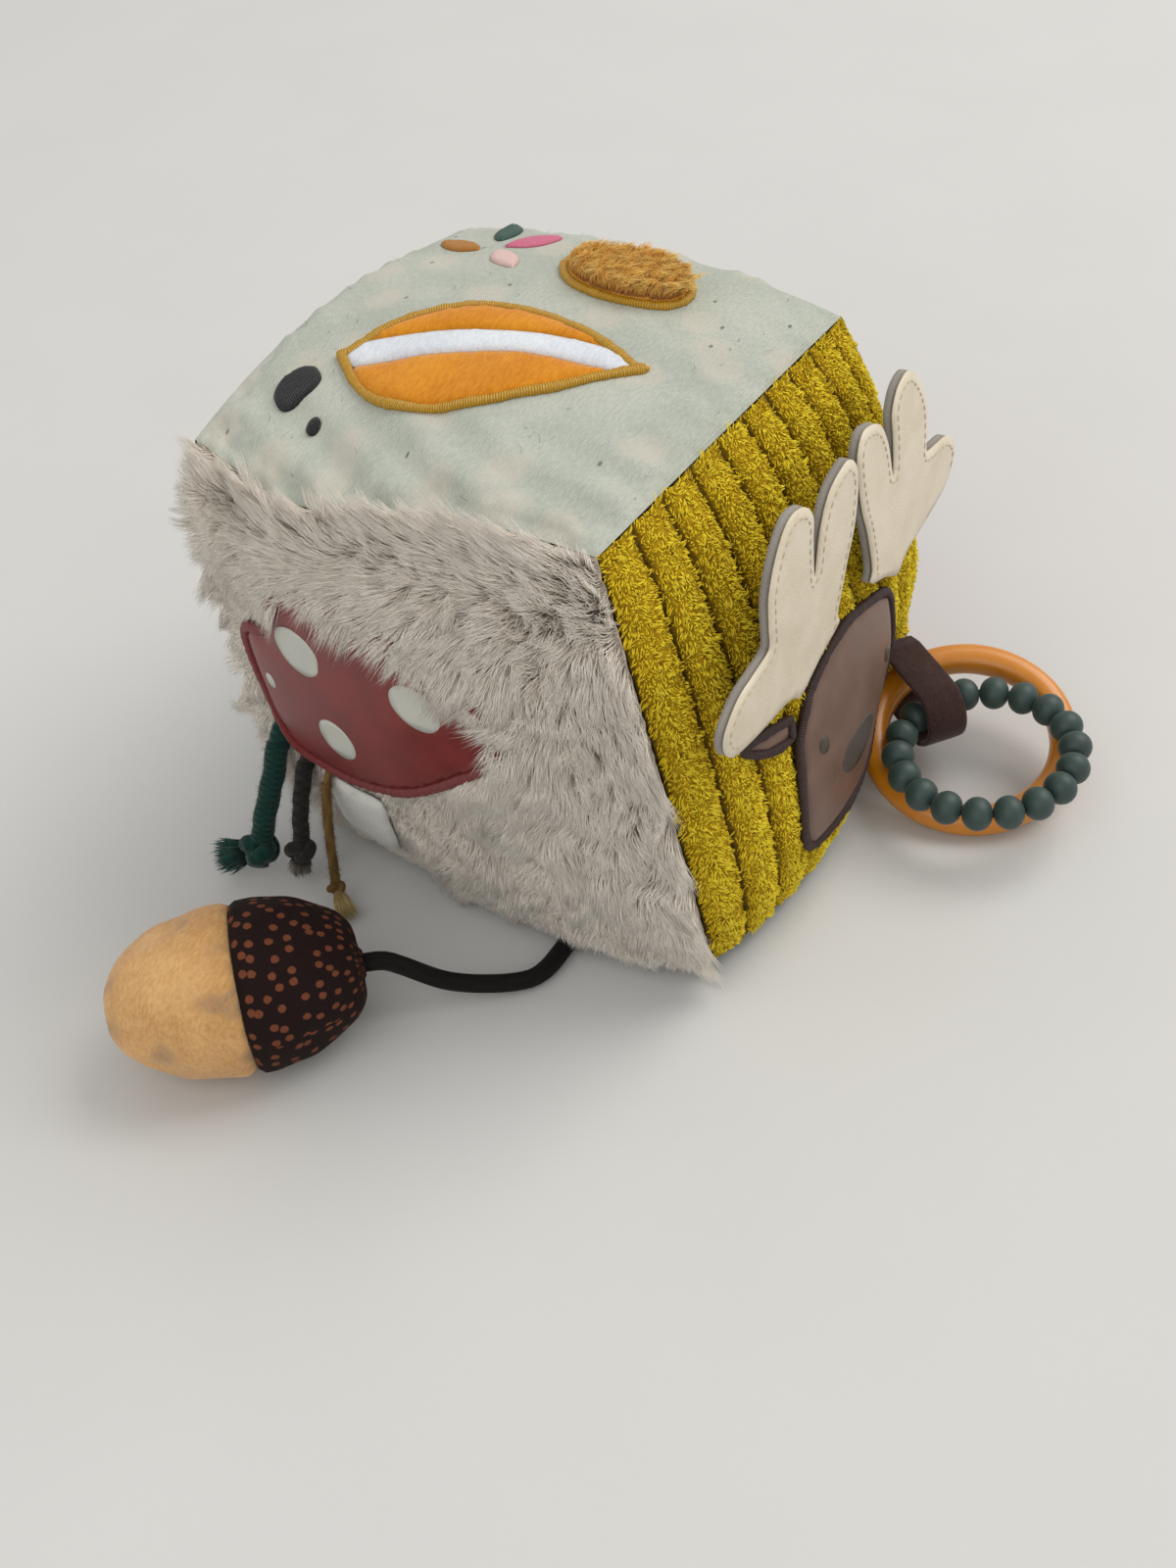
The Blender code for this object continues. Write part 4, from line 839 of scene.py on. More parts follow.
def sweep(name: str, path: Array, up: Array, section: Array,
          closed: bool) -> Piece:
    """Carry a closed section along a path.

    Each point is the path's point plus the section's first value along the side direction, which is the
    cross product of the path's direction and up, and its second value along the direction square to both.

    Args:
        name: the piece's name.
        path: (n, 3) points.
        up: one direction, or one for each point.
        section: (m, 2) points, or (n, m, 2) where it changes along the path.
        closed: whether the path's end joins its start.

    Returns:
        The object.
    """
    along = unit(np.roll(path, -1, 0) - np.roll(path, 1, 0) if closed else np.gradient(path, axis=0))
    side = unit(np.cross(along, up))
    rise = np.cross(side, along)
    section = np.broadcast_to(section, (len(path), *section.shape[-2:]))
    points = path[:, None] + side[:, None] * section[..., :1] + rise[:, None] * section[..., 1:]
    rows, cols = points.shape[:2]
    quads, steps = grid_faces(rows, cols, closed, True)
    run = run_along(np.concatenate([path, path[:1]]))
    faces = [quads]
    maps = [np.stack([run[steps[..., 0]], steps[..., 1] / cols], axis=-1)]
    if not closed:
        ends = np.stack([np.arange(cols)[::-1], (rows - 1) * cols + np.arange(cols)])
        faces.append(ends)
        maps.append(np.stack([run[ends // cols], (ends % cols) / cols], axis=-1))
    return build(name, points.reshape(-1, 3), faces, maps)


def oval_section(width: float, height: float, sides: int, power: float = 1.0) -> Array:
    """Return an oval: cosine and sine raised to a power that squares it off.

    Args:
        width: its full width.
        height: its full height.
        sides: how many points.
        power: 1 for an ellipse, less for a squarer form.

    Returns:
        (sides, 2) points.
    """
    x, y = np.cos(angles(sides)), np.sin(angles(sides))
    return np.stack([np.sign(x) * np.abs(x) ** power * width / 2,
                     np.sign(y) * np.abs(y) ** power * height / 2], 1)


def hairs(name: str, roots: Array, out: Array, lean: Array, length: Array,
          radius: float, tone: Array, curl: float, seed: int) -> Piece:
    """Make tapered three-sided hairs.

    A hair's line is root + length * (out * (s - 0.35 s^2) + lean * s^1.7 + curl * side * w), where s runs
    from 0 at the root to 1 at the tip and w is sin(2 pi s + phase) less its value at the root. Its radius
    shrinks to nothing at the tip. A hair that would go into the floor lies on it.

    Args:
        name: the piece's name.
        roots: (n, 3) root points.
        out: (n, 3) directions out of the cloth.
        lean: (n, 3) drift along the cloth, in hair lengths.
        length: (n,) lengths.
        radius: radius at the root.
        tone: (n,) tones from 0 to 1.
        curl: sideways wave, in hair lengths.
        seed: of the waves.

    Returns:
        The object.
    """
    rng = np.random.default_rng(seed)
    count = len(roots)
    s = np.array([0.0, 0.36, 0.70, 1.0])
    side = unit(np.cross(out, rng.normal(size=(count, 3))))
    other = np.cross(out, side)
    phase = rng.uniform(0, 2 * math.pi, count)[:, None]
    wave = (np.sin(2 * math.pi * s + phase) - np.sin(phase)) * curl
    line = (out[:, None] * (s - 0.35 * s * s)[None, :, None] + lean[:, None] * (s ** 1.7)[None, :, None]
            + side[:, None] * wave[..., None])
    line = roots[:, None] + line * length[:, None, None]
    line[..., 2] = np.maximum(line[..., 2], HAIR_OVER_FLOOR)
    thick = radius * np.array([1.0, 0.92, 0.62])
    angle = angles(3)
    ring = side[:, None] * np.cos(angle)[None, :, None] + other[:, None] * np.sin(angle)[None, :, None]
    body = line[:, :3, None] + ring[:, None] * thick[None, :, None, None]
    verts = np.concatenate([body.reshape(count, 9, 3), line[:, 3:4]], axis=1).reshape(-1, 3)
    quads = np.array([(a + k, a + (k + 1) % 3, a + 3 + (k + 1) % 3, a + 3 + k) for a in (0,
        3) for k in range(3)])
    tris = np.array([(6 + k, 6 + (k + 1) % 3, 9) for k in range(3)] + [(2, 1, 0)])
    first = (np.arange(count) * 10)[:, None, None]
    share = s[np.array([0, 0, 0, 1, 1, 1, 2, 2, 2, 3])]
    faces, maps = [], []
    for shape in (quads, tris):
        faces.append((first + shape).reshape(-1, shape.shape[1]))
        tones = np.broadcast_to(tone[:, None, None], (count, *shape.shape))
        heights = np.broadcast_to(share[shape], (count, *shape.shape))
        maps.append(np.stack([tones, heights], axis=-1).reshape(-1, shape.shape[1], 2))
    return build(name, verts, faces, maps, recalc=False)


def balls(name: str, at: Array, axes: tuple, half: float, radius: float, rows: int, cols: int,
          power: float = 1.0) -> Piece:
    """Make a row of separate balls.

    Each is centre + along * half * cos(a) + (side * cos(b) + rise * sin(b)) * radius * sin(a)^power, over a
    grid of the angles a, from end to end, and b, all round.

    Args:
        name: the piece's name.
        at: (n, 3) centres.
        axes: (n, 3) directions along, to the side and up of each ball.
        half: half the length.
        radius: radius round the middle.
        rows: rings of a ball.
        cols: points of a ring.
        power: under 1 for fuller ends.

    Returns:
        The object.
    """
    along, side, rise = axes
    a = np.linspace(0, math.pi, rows + 2)[1:-1]
    b = angles(cols)[None, None, :, None]
    spin = side[:, None, None] * np.cos(b) + rise[:, None, None] * np.sin(b)
    body = (at[:, None, None] + along[:, None, None] * (np.cos(a) * half)[None, :, None, None]
            + spin * (np.sin(a) ** power * radius)[None, :, None, None])
    tips = np.stack([at + along * half, at - along * half], axis=1)
    verts = np.concatenate([body.reshape(len(at), -1, 3), tips], axis=1)
    first = (np.arange(len(at)) * verts.shape[1])[:, None, None]
    faces = [(first + shape).reshape(-1, shape.shape[1])
             for shape in (grid_faces(rows, cols, False, True)[0], fans(rows, cols))]
    return build(name, verts.reshape(-1, 3), faces)


def stitch_row(name: str, path: Array, up: Array, pitch: float, length: float,
               radius: float) -> Piece:
    """Make running stitches: long balls at even steps along a path.

    Args:
        name: the piece's name.
        path: (n, 3) points.
        up: the direction out of the cloth.
        pitch: from stitch to stitch.
        length: of a stitch.
        radius: of the thread.

    Returns:
        The object.
    """
    fine = even(path, 2 * max(2, int(length_of(path) / pitch)) + 1)
    along = unit(fine[2::2] - fine[:-1:2])
    rise = np.broadcast_to(up, along.shape)
    return balls(name, fine[1::2], (along, unit(np.cross(along, rise)), rise), length / 2, radius, 4, 6)


@dataclass(frozen=True)
class Stuffing:
    """Cloth simulation that lets a stuffed cover swell, with its seams held."""

    pressure: float = 4.0
    frames: int = 20
    spare: float = 0.03
    limit: float = 0.003

    def swell(self, verts: Array, faces: Array, held: Array) -> Array:
        """Return how far each point of a closed cover moves, at most the limit.

        Args:
            verts: (n, 3) points, with those at seams given once for each panel.
            faces: (m, 4) point numbers.
            held: (n,) whether a point is on a seam or on the floor.
        """
        _, first, same = np.unique(np.round(verts, 6), axis=0, return_index=True, return_inverse=True)
        same = same.ravel()
        obj = build("simulated_cover", verts[first], [same[faces]])
        group = obj.vertex_groups.new(name="held")
        group.add(np.unique(same[held]).tolist(), 1.0, "REPLACE")
        cloth = obj.modifiers.new("cloth", "CLOTH")
        cloth.settings.quality = 6
        cloth.settings.mass = 0.3
        cloth.settings.use_pressure = True
        cloth.settings.uniform_pressure_force = self.pressure
        cloth.settings.shrink_min = -self.spare
        cloth.settings.vertex_group_mass = "held"
        cloth.settings.effector_weights.gravity = 0.0
        cloth.collision_settings.use_collision = False
        scene = bpy.context.scene
        for number in range(1, self.frames + 1):
            scene.frame_set(number)
        done = obj.evaluated_get(bpy.context.evaluated_depsgraph_get())
        points = np.empty(len(first) * 3, np.float32)
        done.data.vertices.foreach_get("co", points)
        move = points.reshape(-1, 3) - verts[first]
        far = np.linalg.norm(move, axis=1)[:, None]
        bpy.data.objects.remove(obj)
        scene.frame_set(1)
        LOG.info("simulated cover of %d points moves up to %.1f mm", len(first), float(far.max()) / MM)
        return (move * np.minimum(1, self.limit / np.maximum(far, 1e-9)))[same]


# The stuffed cube that every cloth piece is laid on

class Side(Enum):
    """The sewn panels: directions to the right, up and out of each one."""

    FRONT = ((1, 0, 0), (0, 0, 1), (0, -1, 0))
    RIGHT = ((0, 1, 0), (0, 0, 1), (1, 0, 0))
    BACK = ((-1, 0, 0), (0, 0, 1), (0, 1, 0))
    LEFT = ((0, -1, 0), (0, 0, 1), (-1, 0, 0))
    TOP = ((1, 0, 0), (0, 1, 0), (0, 0, 1))
    BOTTOM = ((1, 0, 0), (0, -1, 0), (0, 0, -1))


@dataclass(frozen=True)
class Block:
    """The rounded cube: its seam corners, lean, dents, ribs and pile."""

    base_half: float = 0.0745
    top_half: float = 0.0675
    seam_low: float = 0.009
    seam_high: float = 0.1495
    lean: tuple = (-0.0205, -0.0110)
    round_share: float = 0.42
    half: float = 0.086
    floor_soft: float = 0.002
    floor_cut: float = 0.0005
    pile: float = 0.0080
    pile_pressed: float = 0.0042
    rib_count: int = 10
    rib_base: float = 0.0010
    rib_rise: float = 0.0040
    edge_share: float = 0.30
    edge_reach: float = 0.012
    dents: tuple = (((-0.35, -1.0, 1.0), 0.55, (0.0, -0.00495, -0.011)),
                    ((1.0, 0.62, -0.82), 0.50, (-0.0142, 0.0, 0.004)))
    slack: float = 0.0033
    swollen: dict = field(default_factory=dict)

    def middle(self) -> Array:
        """Return the middle of the block."""
        return np.array([self.lean[0] / 2, self.lean[1] / 2, (self.seam_low + self.seam_high) / 2])

    def points(self, cube: Array) -> Array:
        """Place points of the unit cube's surface on the cloth.

        The cube is blended towards the unit sphere, stretched to the eight seam corners by how near each is,
        dented, and flattened where it meets the floor.
        """
        x, y, z = cube.T
        sphere = np.stack([x * np.sqrt(np.maximum(1 - y * y / 2 - z * z / 2 + y * y * z * z / 3, 0)),
                           y * np.sqrt(np.maximum(1 - z * z / 2 - x * x / 2 + z * z * x * x / 3, 0)),
                           z * np.sqrt(np.maximum(1 - x * x / 2 - y * y / 2 + x * x * y * y / 3, 0))],
                           axis=1)
        k = self.round_share
        rounded = ((1 - k) * cube + k * sphere) / ((1 - k) + k / math.sqrt(3))
        signs = np.array([(a, b, c) for a in (-1, 1) for b in (-1, 1) for c in (-1, 1)], float)
        low = signs[:, 2] < 0
        size = np.where(low, self.base_half, self.top_half)
        corners = np.stack([signs[:, 0] * size + np.where(low, 0, self.lean[0]),
                            signs[:, 1] * size + np.where(low, 0, self.lean[1]),
                            np.where(low, self.seam_low, self.seam_high)], axis=1)
        weight = np.prod(1 + rounded[:, None, :] * signs, axis=2) / 8
        placed = weight @ corners
        for place, reach, shift in self.dents:
            away = np.sum((cube - np.array(place)) ** 2, axis=1)
            placed += np.exp(-away / reach ** 2)[:, None] * np.array(shift)
        soft = (placed[:, 2] + np.sqrt(placed[:, 2] ** 2 + self.floor_soft ** 2)) / 2
        placed[:, 2] = np.maximum(soft - self.floor_cut, 0)
        return placed

    def at(self, side: Side, u: Array, v: Array) -> Array:
        """Return points of a panel's cloth at distances right of and up from its middle."""
        right, up, out = (np.array(axis, float) for axis in side.value)
        return self.points(out + (np.ravel(u) / self.half)[:, None] * right
                           + (np.ravel(v) / self.half)[:, None] * up)

    def tangents(self, side: Side, u: Array, v: Array) -> tuple:
        """Return the unit directions right, up and out of a panel at points of it."""
        step = 0.00086
        right = self.at(side, u + step, v) - self.at(side, u - step, v)
        up = self.at(side, u, v + step) - self.at(side, u, v - step)
        out = np.cross(right, up)
        return tuple(w / np.linalg.norm(w, axis=1)[:, None] for w in (right, up, out))

    def cloth(self, side: Side, u: Array, v: Array, height: object = 0.0) -> Array:
        """Return points at a height above a panel."""
        out = self.tangents(side, u, v)[2]
        return self.at(side, u, v) + out * np.broadcast_to(height, np.ravel(u).shape)[:, None]

    def fade(self, u: Array, v: Array) -> Array:
        """Return 1 over a panel's middle, falling to a small share at its seams."""
        shares = [1 - (1 - self.edge_share) * np.exp(-((self.half - np.abs(t))
            / self.edge_reach) ** 2) for t in (u, v)]
        return shares[0] * shares[1]

    def ribs(self, u: Array, v: Array) -> tuple:
        """Return the height of the ribs, and the share of the way from valley to crown."""
        pitch = 2 * self.half / self.rib_count
        wave = np.abs(np.sin(np.pi * (u + self.half) / pitch)) ** 0.6
        away = ((u - 0.050) ** 2 + (v + 0.066) ** 2) / 0.030 ** 2
        kept = 1 - 0.75 * np.exp(-away * away)
        return (self.rib_base + self.rib_rise * wave) * self.fade(u, v) * kept, wave

    def pressed(self, u: Array, v: Array) -> Array:
        """Return 1 under the mushroom, where stitches press the pile, and 0 well outside it."""
        cap_u, cap_v = CAP_SIZE[0] / 2, CAP_SIZE[1] / 2
        stem_half = STEM_SIZE[0] / 2
        cap = (np.hypot((u - CAP_AT[0]) / cap_u, (v - CAP_AT[1]) / cap_v) - 1.10) * cap_v
        stem = np.maximum(np.abs((u - STEM_AT[0]) / stem_half), np.abs((v - STEM_AT[1]) / stem_half))
        stem = (stem - 1.10) * stem_half
        t = np.clip(np.minimum(cap, stem) / 0.016, 0, 1)
        return 1 - t * t * (3 - 2 * t)

    def pile_height(self, u: Array, v: Array) -> Array:
        """Return how far the fur stands above its cloth."""
        return (self.pile - (self.pile - self.pile_pressed) * self.pressed(u, v)) * self.fade(u, v)

    def seam_distance(self, u: Array, v: Array) -> Array:
        """Return how far points of a panel are from its nearest seam."""
        return self.half - np.maximum(np.abs(u), np.abs(v))

    def swell(self, cells: int = 36) -> None:
        """Simulate the stuffed cover from a smaller one, and keep each panel's heights as a grid."""
        line = np.linspace(-self.half, self.half, cells + 1)
        u, v = net(line)
        quads, _ = grid_faces(cells + 1, cells + 1)
        away = self.seam_distance(u, v)
        slack = (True) * self.slack * (1 - np.exp(-away / 0.010))
        low = np.concatenate([self.at(side, u, v)[:, 2] for side in Side]) < 0.003
        verts = np.concatenate([self.cloth(side, u, v, -slack) for side in Side])
        faces = np.concatenate([quads + k * len(u) for k in range(len(Side))])
        held = np.tile(away < self.half * 0.001, len(Side)) | low
        moves = Stuffing().swell(verts, faces, held).reshape(len(Side), -1, 3)
        for side, move in zip(Side, moves):
            out = self.tangents(side, u, v)[2]
            self.swollen[side] = (np.sum(move * out, axis=1) - slack).reshape(cells + 1, cells + 1)

    def swelling(self, side: Side, u: Array, v: Array) -> Array:
        """Return the simulated swelling, blended between the four nearest points of its grid."""
        grid = self.swollen[side]
        last = len(grid) - 1
        x, y = (np.clip((t / self.half + 1) / 2 * last, 0, last - 1e-6) for t in (u, v))
        i, j = x.astype(int), y.astype(int)
        a, b = x - i, y - j
        return ((grid[i, j] * (1 - a) + grid[i + 1, j] * a) * (1 - b)
                + (grid[i, j + 1] * (1 - a) + grid[i + 1, j + 1] * a) * b)

    def seam_roll(self, u: Array, v: Array) -> Array:
        """Return how cloth rises away from its seams: 1.4 mm, most of it within 6 mm."""
        return 0.0014 * (1 - np.exp(-self.seam_distance(u, v) / 0.0035))

    def rumple(self, u: Array, v: Array) -> Array:
        """Return the height of the jersey: its swelling, and creases near the front and right seams."""
        front = np.exp(-((v + 0.070) / 0.026) ** 2)
        right = np.exp(-((u - 0.078) / 0.016) ** 2)
        folds = np.sin(2 * math.pi * (u * 0.35 + v * 0.95) / 0.019 + 2.2 * np.sin(u / 0.024))
        puckers = np.sin(2 * math.pi * (v + 0.2 * u) / 0.0172)
        slow = ripple(np.stack([u, v], 1), 0.040, 3) * 0.00035
        seams = np.minimum(1, self.seam_distance(u, v) / 0.006)
        creases = (0.0009 * front * folds + 0.0006 * right * puckers + slow) * seams
        return creases + self.seam_roll(u, v) + self.swelling(Side.TOP, u, v)

    def seat(self, side: Side, u: Array, v: Array) -> Array:
        """Return the height of the surface that a patch is sewn down on."""
        if side is Side.RIGHT:
            return np.full_like(u, self.rib_base + self.rib_rise)
        if side is Side.FRONT:
            return self.pile_height(u, v) + 0.0006
        return self.rumple(u, v)


BLOCK = Block()


@dataclass(frozen=True)
class Panel:
    """One sewn panel, as a closed piece of cloth whose edge is tucked into the seam."""

    name: str
    side: Side
    finish: Finish
    slot: str
    cells: int = 100
    tuck: float = 0.045

    def height(self, u: Array, v: Array) -> tuple:
        """Return the height over the cloth, and the second map value."""
        if self.side is Side.RIGHT:
            ribs, wave = BLOCK.ribs(u, v)
            curls = ripple(np.stack([u, v], 1), 0.0035, 5, 40) * 0.00028
            # the second map value, the share from valley to crown, sets the plush's painted valley shade
            return ribs + curls * wave, wave
        if self.side is Side.FRONT:
            clumps = ripple(np.stack([u, v], 1), 0.006, 6, 40) * 0.0005
            return BLOCK.pile_height(u, v) * 0.30 + clumps, v
        if self.side is Side.TOP:
            return BLOCK.rumple(u, v), v
        if self.side is Side.BOTTOM:
            return np.zeros_like(u), v
        near = np.exp(-(BLOCK.seam_distance(u, v) / 0.010) ** 2)
        puckers = 0.00035 * np.sin(2 * math.pi * (u + v) / 0.009) * near
        return BLOCK.seam_roll(u, v) * (1 + puckers / 0.0014) + BLOCK.swelling(self.side, u, v), v

    def make(self) -> Piece:
        """Build the panel: a grid laid on the cloth, a tucked rim and a fan that closes it inside."""
        n = self.cells
        line = np.linspace(-1, 1, n + 1)
        edge = (0.75 * line + 0.25 * np.sin(line * math.pi / 2)) * BLOCK.half
        u, v = net(edge)
        height, second = self.height(u, v)
        top = BLOCK.cloth(self.side, u, v, height)
        quads, steps = grid_faces(n + 1, n + 1)
        first = np.arange(n + 1)
        rim = np.concatenate([first[:-1] * (n + 1), n * (n + 1) + first[:-1],
                              (first[:0:-1]) * (n + 1) + n, first[:0:-1]])
        count = len(rim)
        tucked = top[rim] + (BLOCK.middle() - top[rim]) * self.tuck
        centre = top.mean(0) + (BLOCK.middle() - top.mean(0)) * self.tuck
        verts = np.concatenate([top, tucked, [centre]])
        k = np.arange(count)
        ring = len(top) + k
        after = len(top) + (k + 1) % count
        walls = np.stack([rim, np.roll(rim, -1), after, ring], 1)
        fan = np.stack([ring, after, np.full(count, len(verts) - 1)], 1)
        flat = np.stack([u, second], 1)
        flat = np.concatenate([flat, flat[rim], [[0, 0]]])
        faces = [quads, walls, fan]
        obj = build(self.name, verts, faces, [flat[f] for f in faces])
        obj.data.set_sharp_from_angle(angle=math.radians(55))
        return dress(obj, self.finish, "block", (f"{self.side.name.lower()}_panel",))


@dataclass(frozen=True)
class Patch:
    """A piece of cloth sewn on a panel: its outline, its height over the seat and its rounded edge."""

    side: Side
    cell: float = 0.0030
    thickness: float = 0.0012
    edge: float = 0.0012
    crown: float = 0.0

    def crest(self, away: float) -> float:
        """Return the height over the seat at a distance from the outline, past the rounded edge."""
        return PATCH_LIFT + self.thickness + self.crown * (1 - math.exp(-away / CROWN_REACH))

    def make(self, name: str, loop: Array, finish: Finish, nodes: tuple, slot: str,
             lift: float = PATCH_LIFT, turn: float = 0.0) -> Piece:
        """Lay a filled outline on the panel as a thin closed pad.

        The upper height is seat + lift + thickness * sqrt(min(1, d / edge)) + crown * (1 - exp(-d / 10 mm)),
        where d is the distance from the outline.
        """
        flat, tris = fill(loop, self.cell)
        away = edge_distance(flat, loop)
        u, v = flat.T
        seat = BLOCK.seat(self.side, u, v) + lift
        high = seat + self.thickness * (0.25 + 0.75 * np.sqrt(np.minimum(1, away / self.edge)))
        high = high + self.crown * (1 - np.exp(-away / CROWN_REACH))
        upper, lower = BLOCK.cloth(self.side, u, v, high), BLOCK.cloth(self.side, u, v, seat - 0.0004)
        obj = slab(name, upper, lower, tris, len(loop), turned(flat, -turn))
        return dress(obj, finish, "block", nodes)


def edging(name: str, side: Side, loop: Array, width: float, height: float, finish: Finish,
           nodes: tuple, seed: int) -> Piece:
    """Sew a satin-stitched border: a flattened oval carried round an outline, a little uneven in width."""
    path = even_loop(loop, 0.00065)
    u, v = path.T
    lift = BLOCK.seat(side, u, v) + height * 0.30
    out = BLOCK.tangents(side, u, v)[2]
    run = np.arange(len(path))
    rng = np.random.default_rng(seed)
    uneven = 1 + 0.10 * np.convolve(rng.normal(size=len(path)), np.ones(3) / 3,
                                    "same") + 0.05 * np.sin(run / 7.0)
    section = oval_section(width, height, 12, 0.85)[None] * uneven[:, None, None]
    obj = sweep(name, BLOCK.cloth(side, u, v, lift), out, section, True)
    return dress(obj, finish, "block", nodes)


def placed(shares: tuple, width: float, height: float, at: tuple, turn: float = 0.0) -> Array:
    """Return a smooth outline from shares of half a width and half a height, turned and placed."""
    return smooth_loop(turned(np.array(shares) * [width / 2, height / 2], turn) + np.array(at))


OVAL_SHARES = ((-1.0, 0.0), (-0.90, -0.62), (-0.50, -0.97), (0.0, -1.0), (0.50, -0.97), (0.90, -0.62),
               (1.0, 0.0),
               (0.90, 0.62), (0.50, 0.97), (0.0, 1.0), (-0.50, 0.97), (-0.90, 0.62))
ROUND_SHARES = ((-1.0, 0.0), (-0.71, -0.71), (0.0, -1.0), (0.71, -0.71), (1.0, 0.0), (0.71, 0.71),
                (0.0, 1.0),
                (-0.71, 0.71))


def shaken(rows: int, half: float, rng: np.random.Generator) -> tuple:
    """Return both coordinates of a square grid of points, each moved at random inside its cell.

    Args:
        rows: points along a side.
        half: half the side.
        rng: the source of the moves.

    Returns:
        Two arrays of rows * rows numbers.
    """
    line = (np.arange(rows) + 0.5) / rows * 2 - 1
    return tuple(np.clip(g.ravel() * half + rng.uniform(-1, 1, rows * rows) * half / rows, -half, half)
                 for g in np.meshgrid(line, line))


def tufts(cell: Array, size: float, count: int, values: int, rng: np.random.Generator) -> tuple:
    """Gather points in the cells of a warped grid.

    Args:
        cell: (n, 2) places, in cells.
        size: of a cell.
        count: cells along a side.
        values: how many numbers each cell has.
        rng: the source of these numbers.

    Returns:
        (n, values) numbers of each point's cell, and the (n, 2) way to its middle.
    """
    index = np.clip(np.floor(cell).astype(int), 0, count - 1)
    return rng.normal(size=(count, count, values))[index[:, 0], index[:, 1]], (index + 0.5 - cell) * size


@dataclass(frozen=True)
class FurSide:
    """The long-pile front: hairs gathered in tufts that hang down and to the left."""

    rows: int = 268
    tuft: float = 0.0056
    length: float = 0.0125
    radius: float = 0.00016

    def make(self, holes: tuple) -> None:
        """Plant the hairs on a shaken grid outside the mushroom, and build them as six pieces.

        The hairs part along a crest below the top seam, and more of them are planted there.
        """
        rng = np.random.default_rng(11)
        half = BLOCK.half - 0.0003
        u, v = shaken(self.rows, half, rng)
        crest = half - 0.020
        v = v - 0.40 * (v - crest) * np.exp(-((v - crest) / 0.010) ** 2)
        flat = np.stack([u, v], 1)
        keep = BLOCK.at(Side.FRONT, u, v)[:, 2] > HAIR_OVER_FLOOR
        for hole in holes:
            keep &= ~inside(flat, hole)
        u, v = u[keep], v[keep]
        flat = flat[keep]
        count = len(u)
        right, up, out = BLOCK.tangents(Side.FRONT, u, v)
        warp = two_ripples(flat, 0.011, 21) * 0.0016
        tuft, centre = tufts((flat + warp + half) / self.tuft, self.tuft, 64, 4, rng)
        upper = 1 / (1 + np.exp(-((u - CAP_AT[0]) * 0.8 + (v - CAP_AT[1])) / 0.008))
        press = BLOCK.pressed(u, v)
        slow = two_ripples(flat, 0.034, 23)
        length = self.length * (1 - 0.45 * press * (1 - upper)) * (1 + 0.10 * tuft[:, 2] + 0.07
            * rng.normal(size=count))
        length = np.clip(length * (1 + 0.10 * slow[:, 0] + 0.20 * press * upper), 0.004, 0.0170)
        fringe = np.exp(-((half - v) / 0.024) ** 2)
        calm = 1 - 0.8 * fringe
        wave = two_ripples(flat, 0.014, 25)
        du = -0.16 + 0.22 * slow[:, 0] + 0.20 * wave[:, 0] + 0.13 * tuft[:,
            0] + 0.05 * rng.normal(size=count)
        du = du - 0.28 * press * upper + 0.34 * centre[:, 0] / length
        dv = -0.50 + (0.20 * slow[:, 1] + 0.20 * wave[:, 1]) * calm + 0.13 * tuft[:, 1]
        dv = dv + 0.05 * rng.normal(size=count)
        dv = dv - 0.12 * press * upper + 0.34 * centre[:, 1] / length
        dv = dv + 1.20 * fringe
        top = np.exp(-((half - v) / 0.030) ** 2)
        du = du + 0.42 * np.exp(-((half - u) / (0.022 - 0.014 * top)) ** 2)
        du = du - 0.40 * top / (1 + np.exp(-u / 0.020)) - 0.30 * np.exp(-((half + u) / 0.011) ** 2)
        corner = np.exp(-((half - np.abs(u)) / 0.014) ** 2 - ((half - np.abs(v)) / 0.014) ** 2)
        length = length * (1 - (0.25 + 0.35 * (u < 0)) * corner)
        low = np.exp(-(BLOCK.at(Side.FRONT, u, v)[:, 2] / 0.010) ** 2)
        dv = dv * (1 - low) + 0.10 * low
        length = length * (1 - 0.45 * low)
        lean = right * du[:, None] + up * dv[:, None]
        tone = np.clip(0.5 + 0.16 * tuft[:, 3] + 0.20 * rng.normal(size=count), 0, 1)
        roots = BLOCK.cloth(Side.FRONT, u, v, 0.0006)
        order = rng.permutation(count)
        for number, part in enumerate(np.array_split(order, 6)):
            obj = hairs(f"fur_hair_{number + 1}", roots[part], out[part], lean[part], length[part],
                        self.radius, tone[part], 0.035, 30 + number)
            dress(obj, FUR, "block", ())


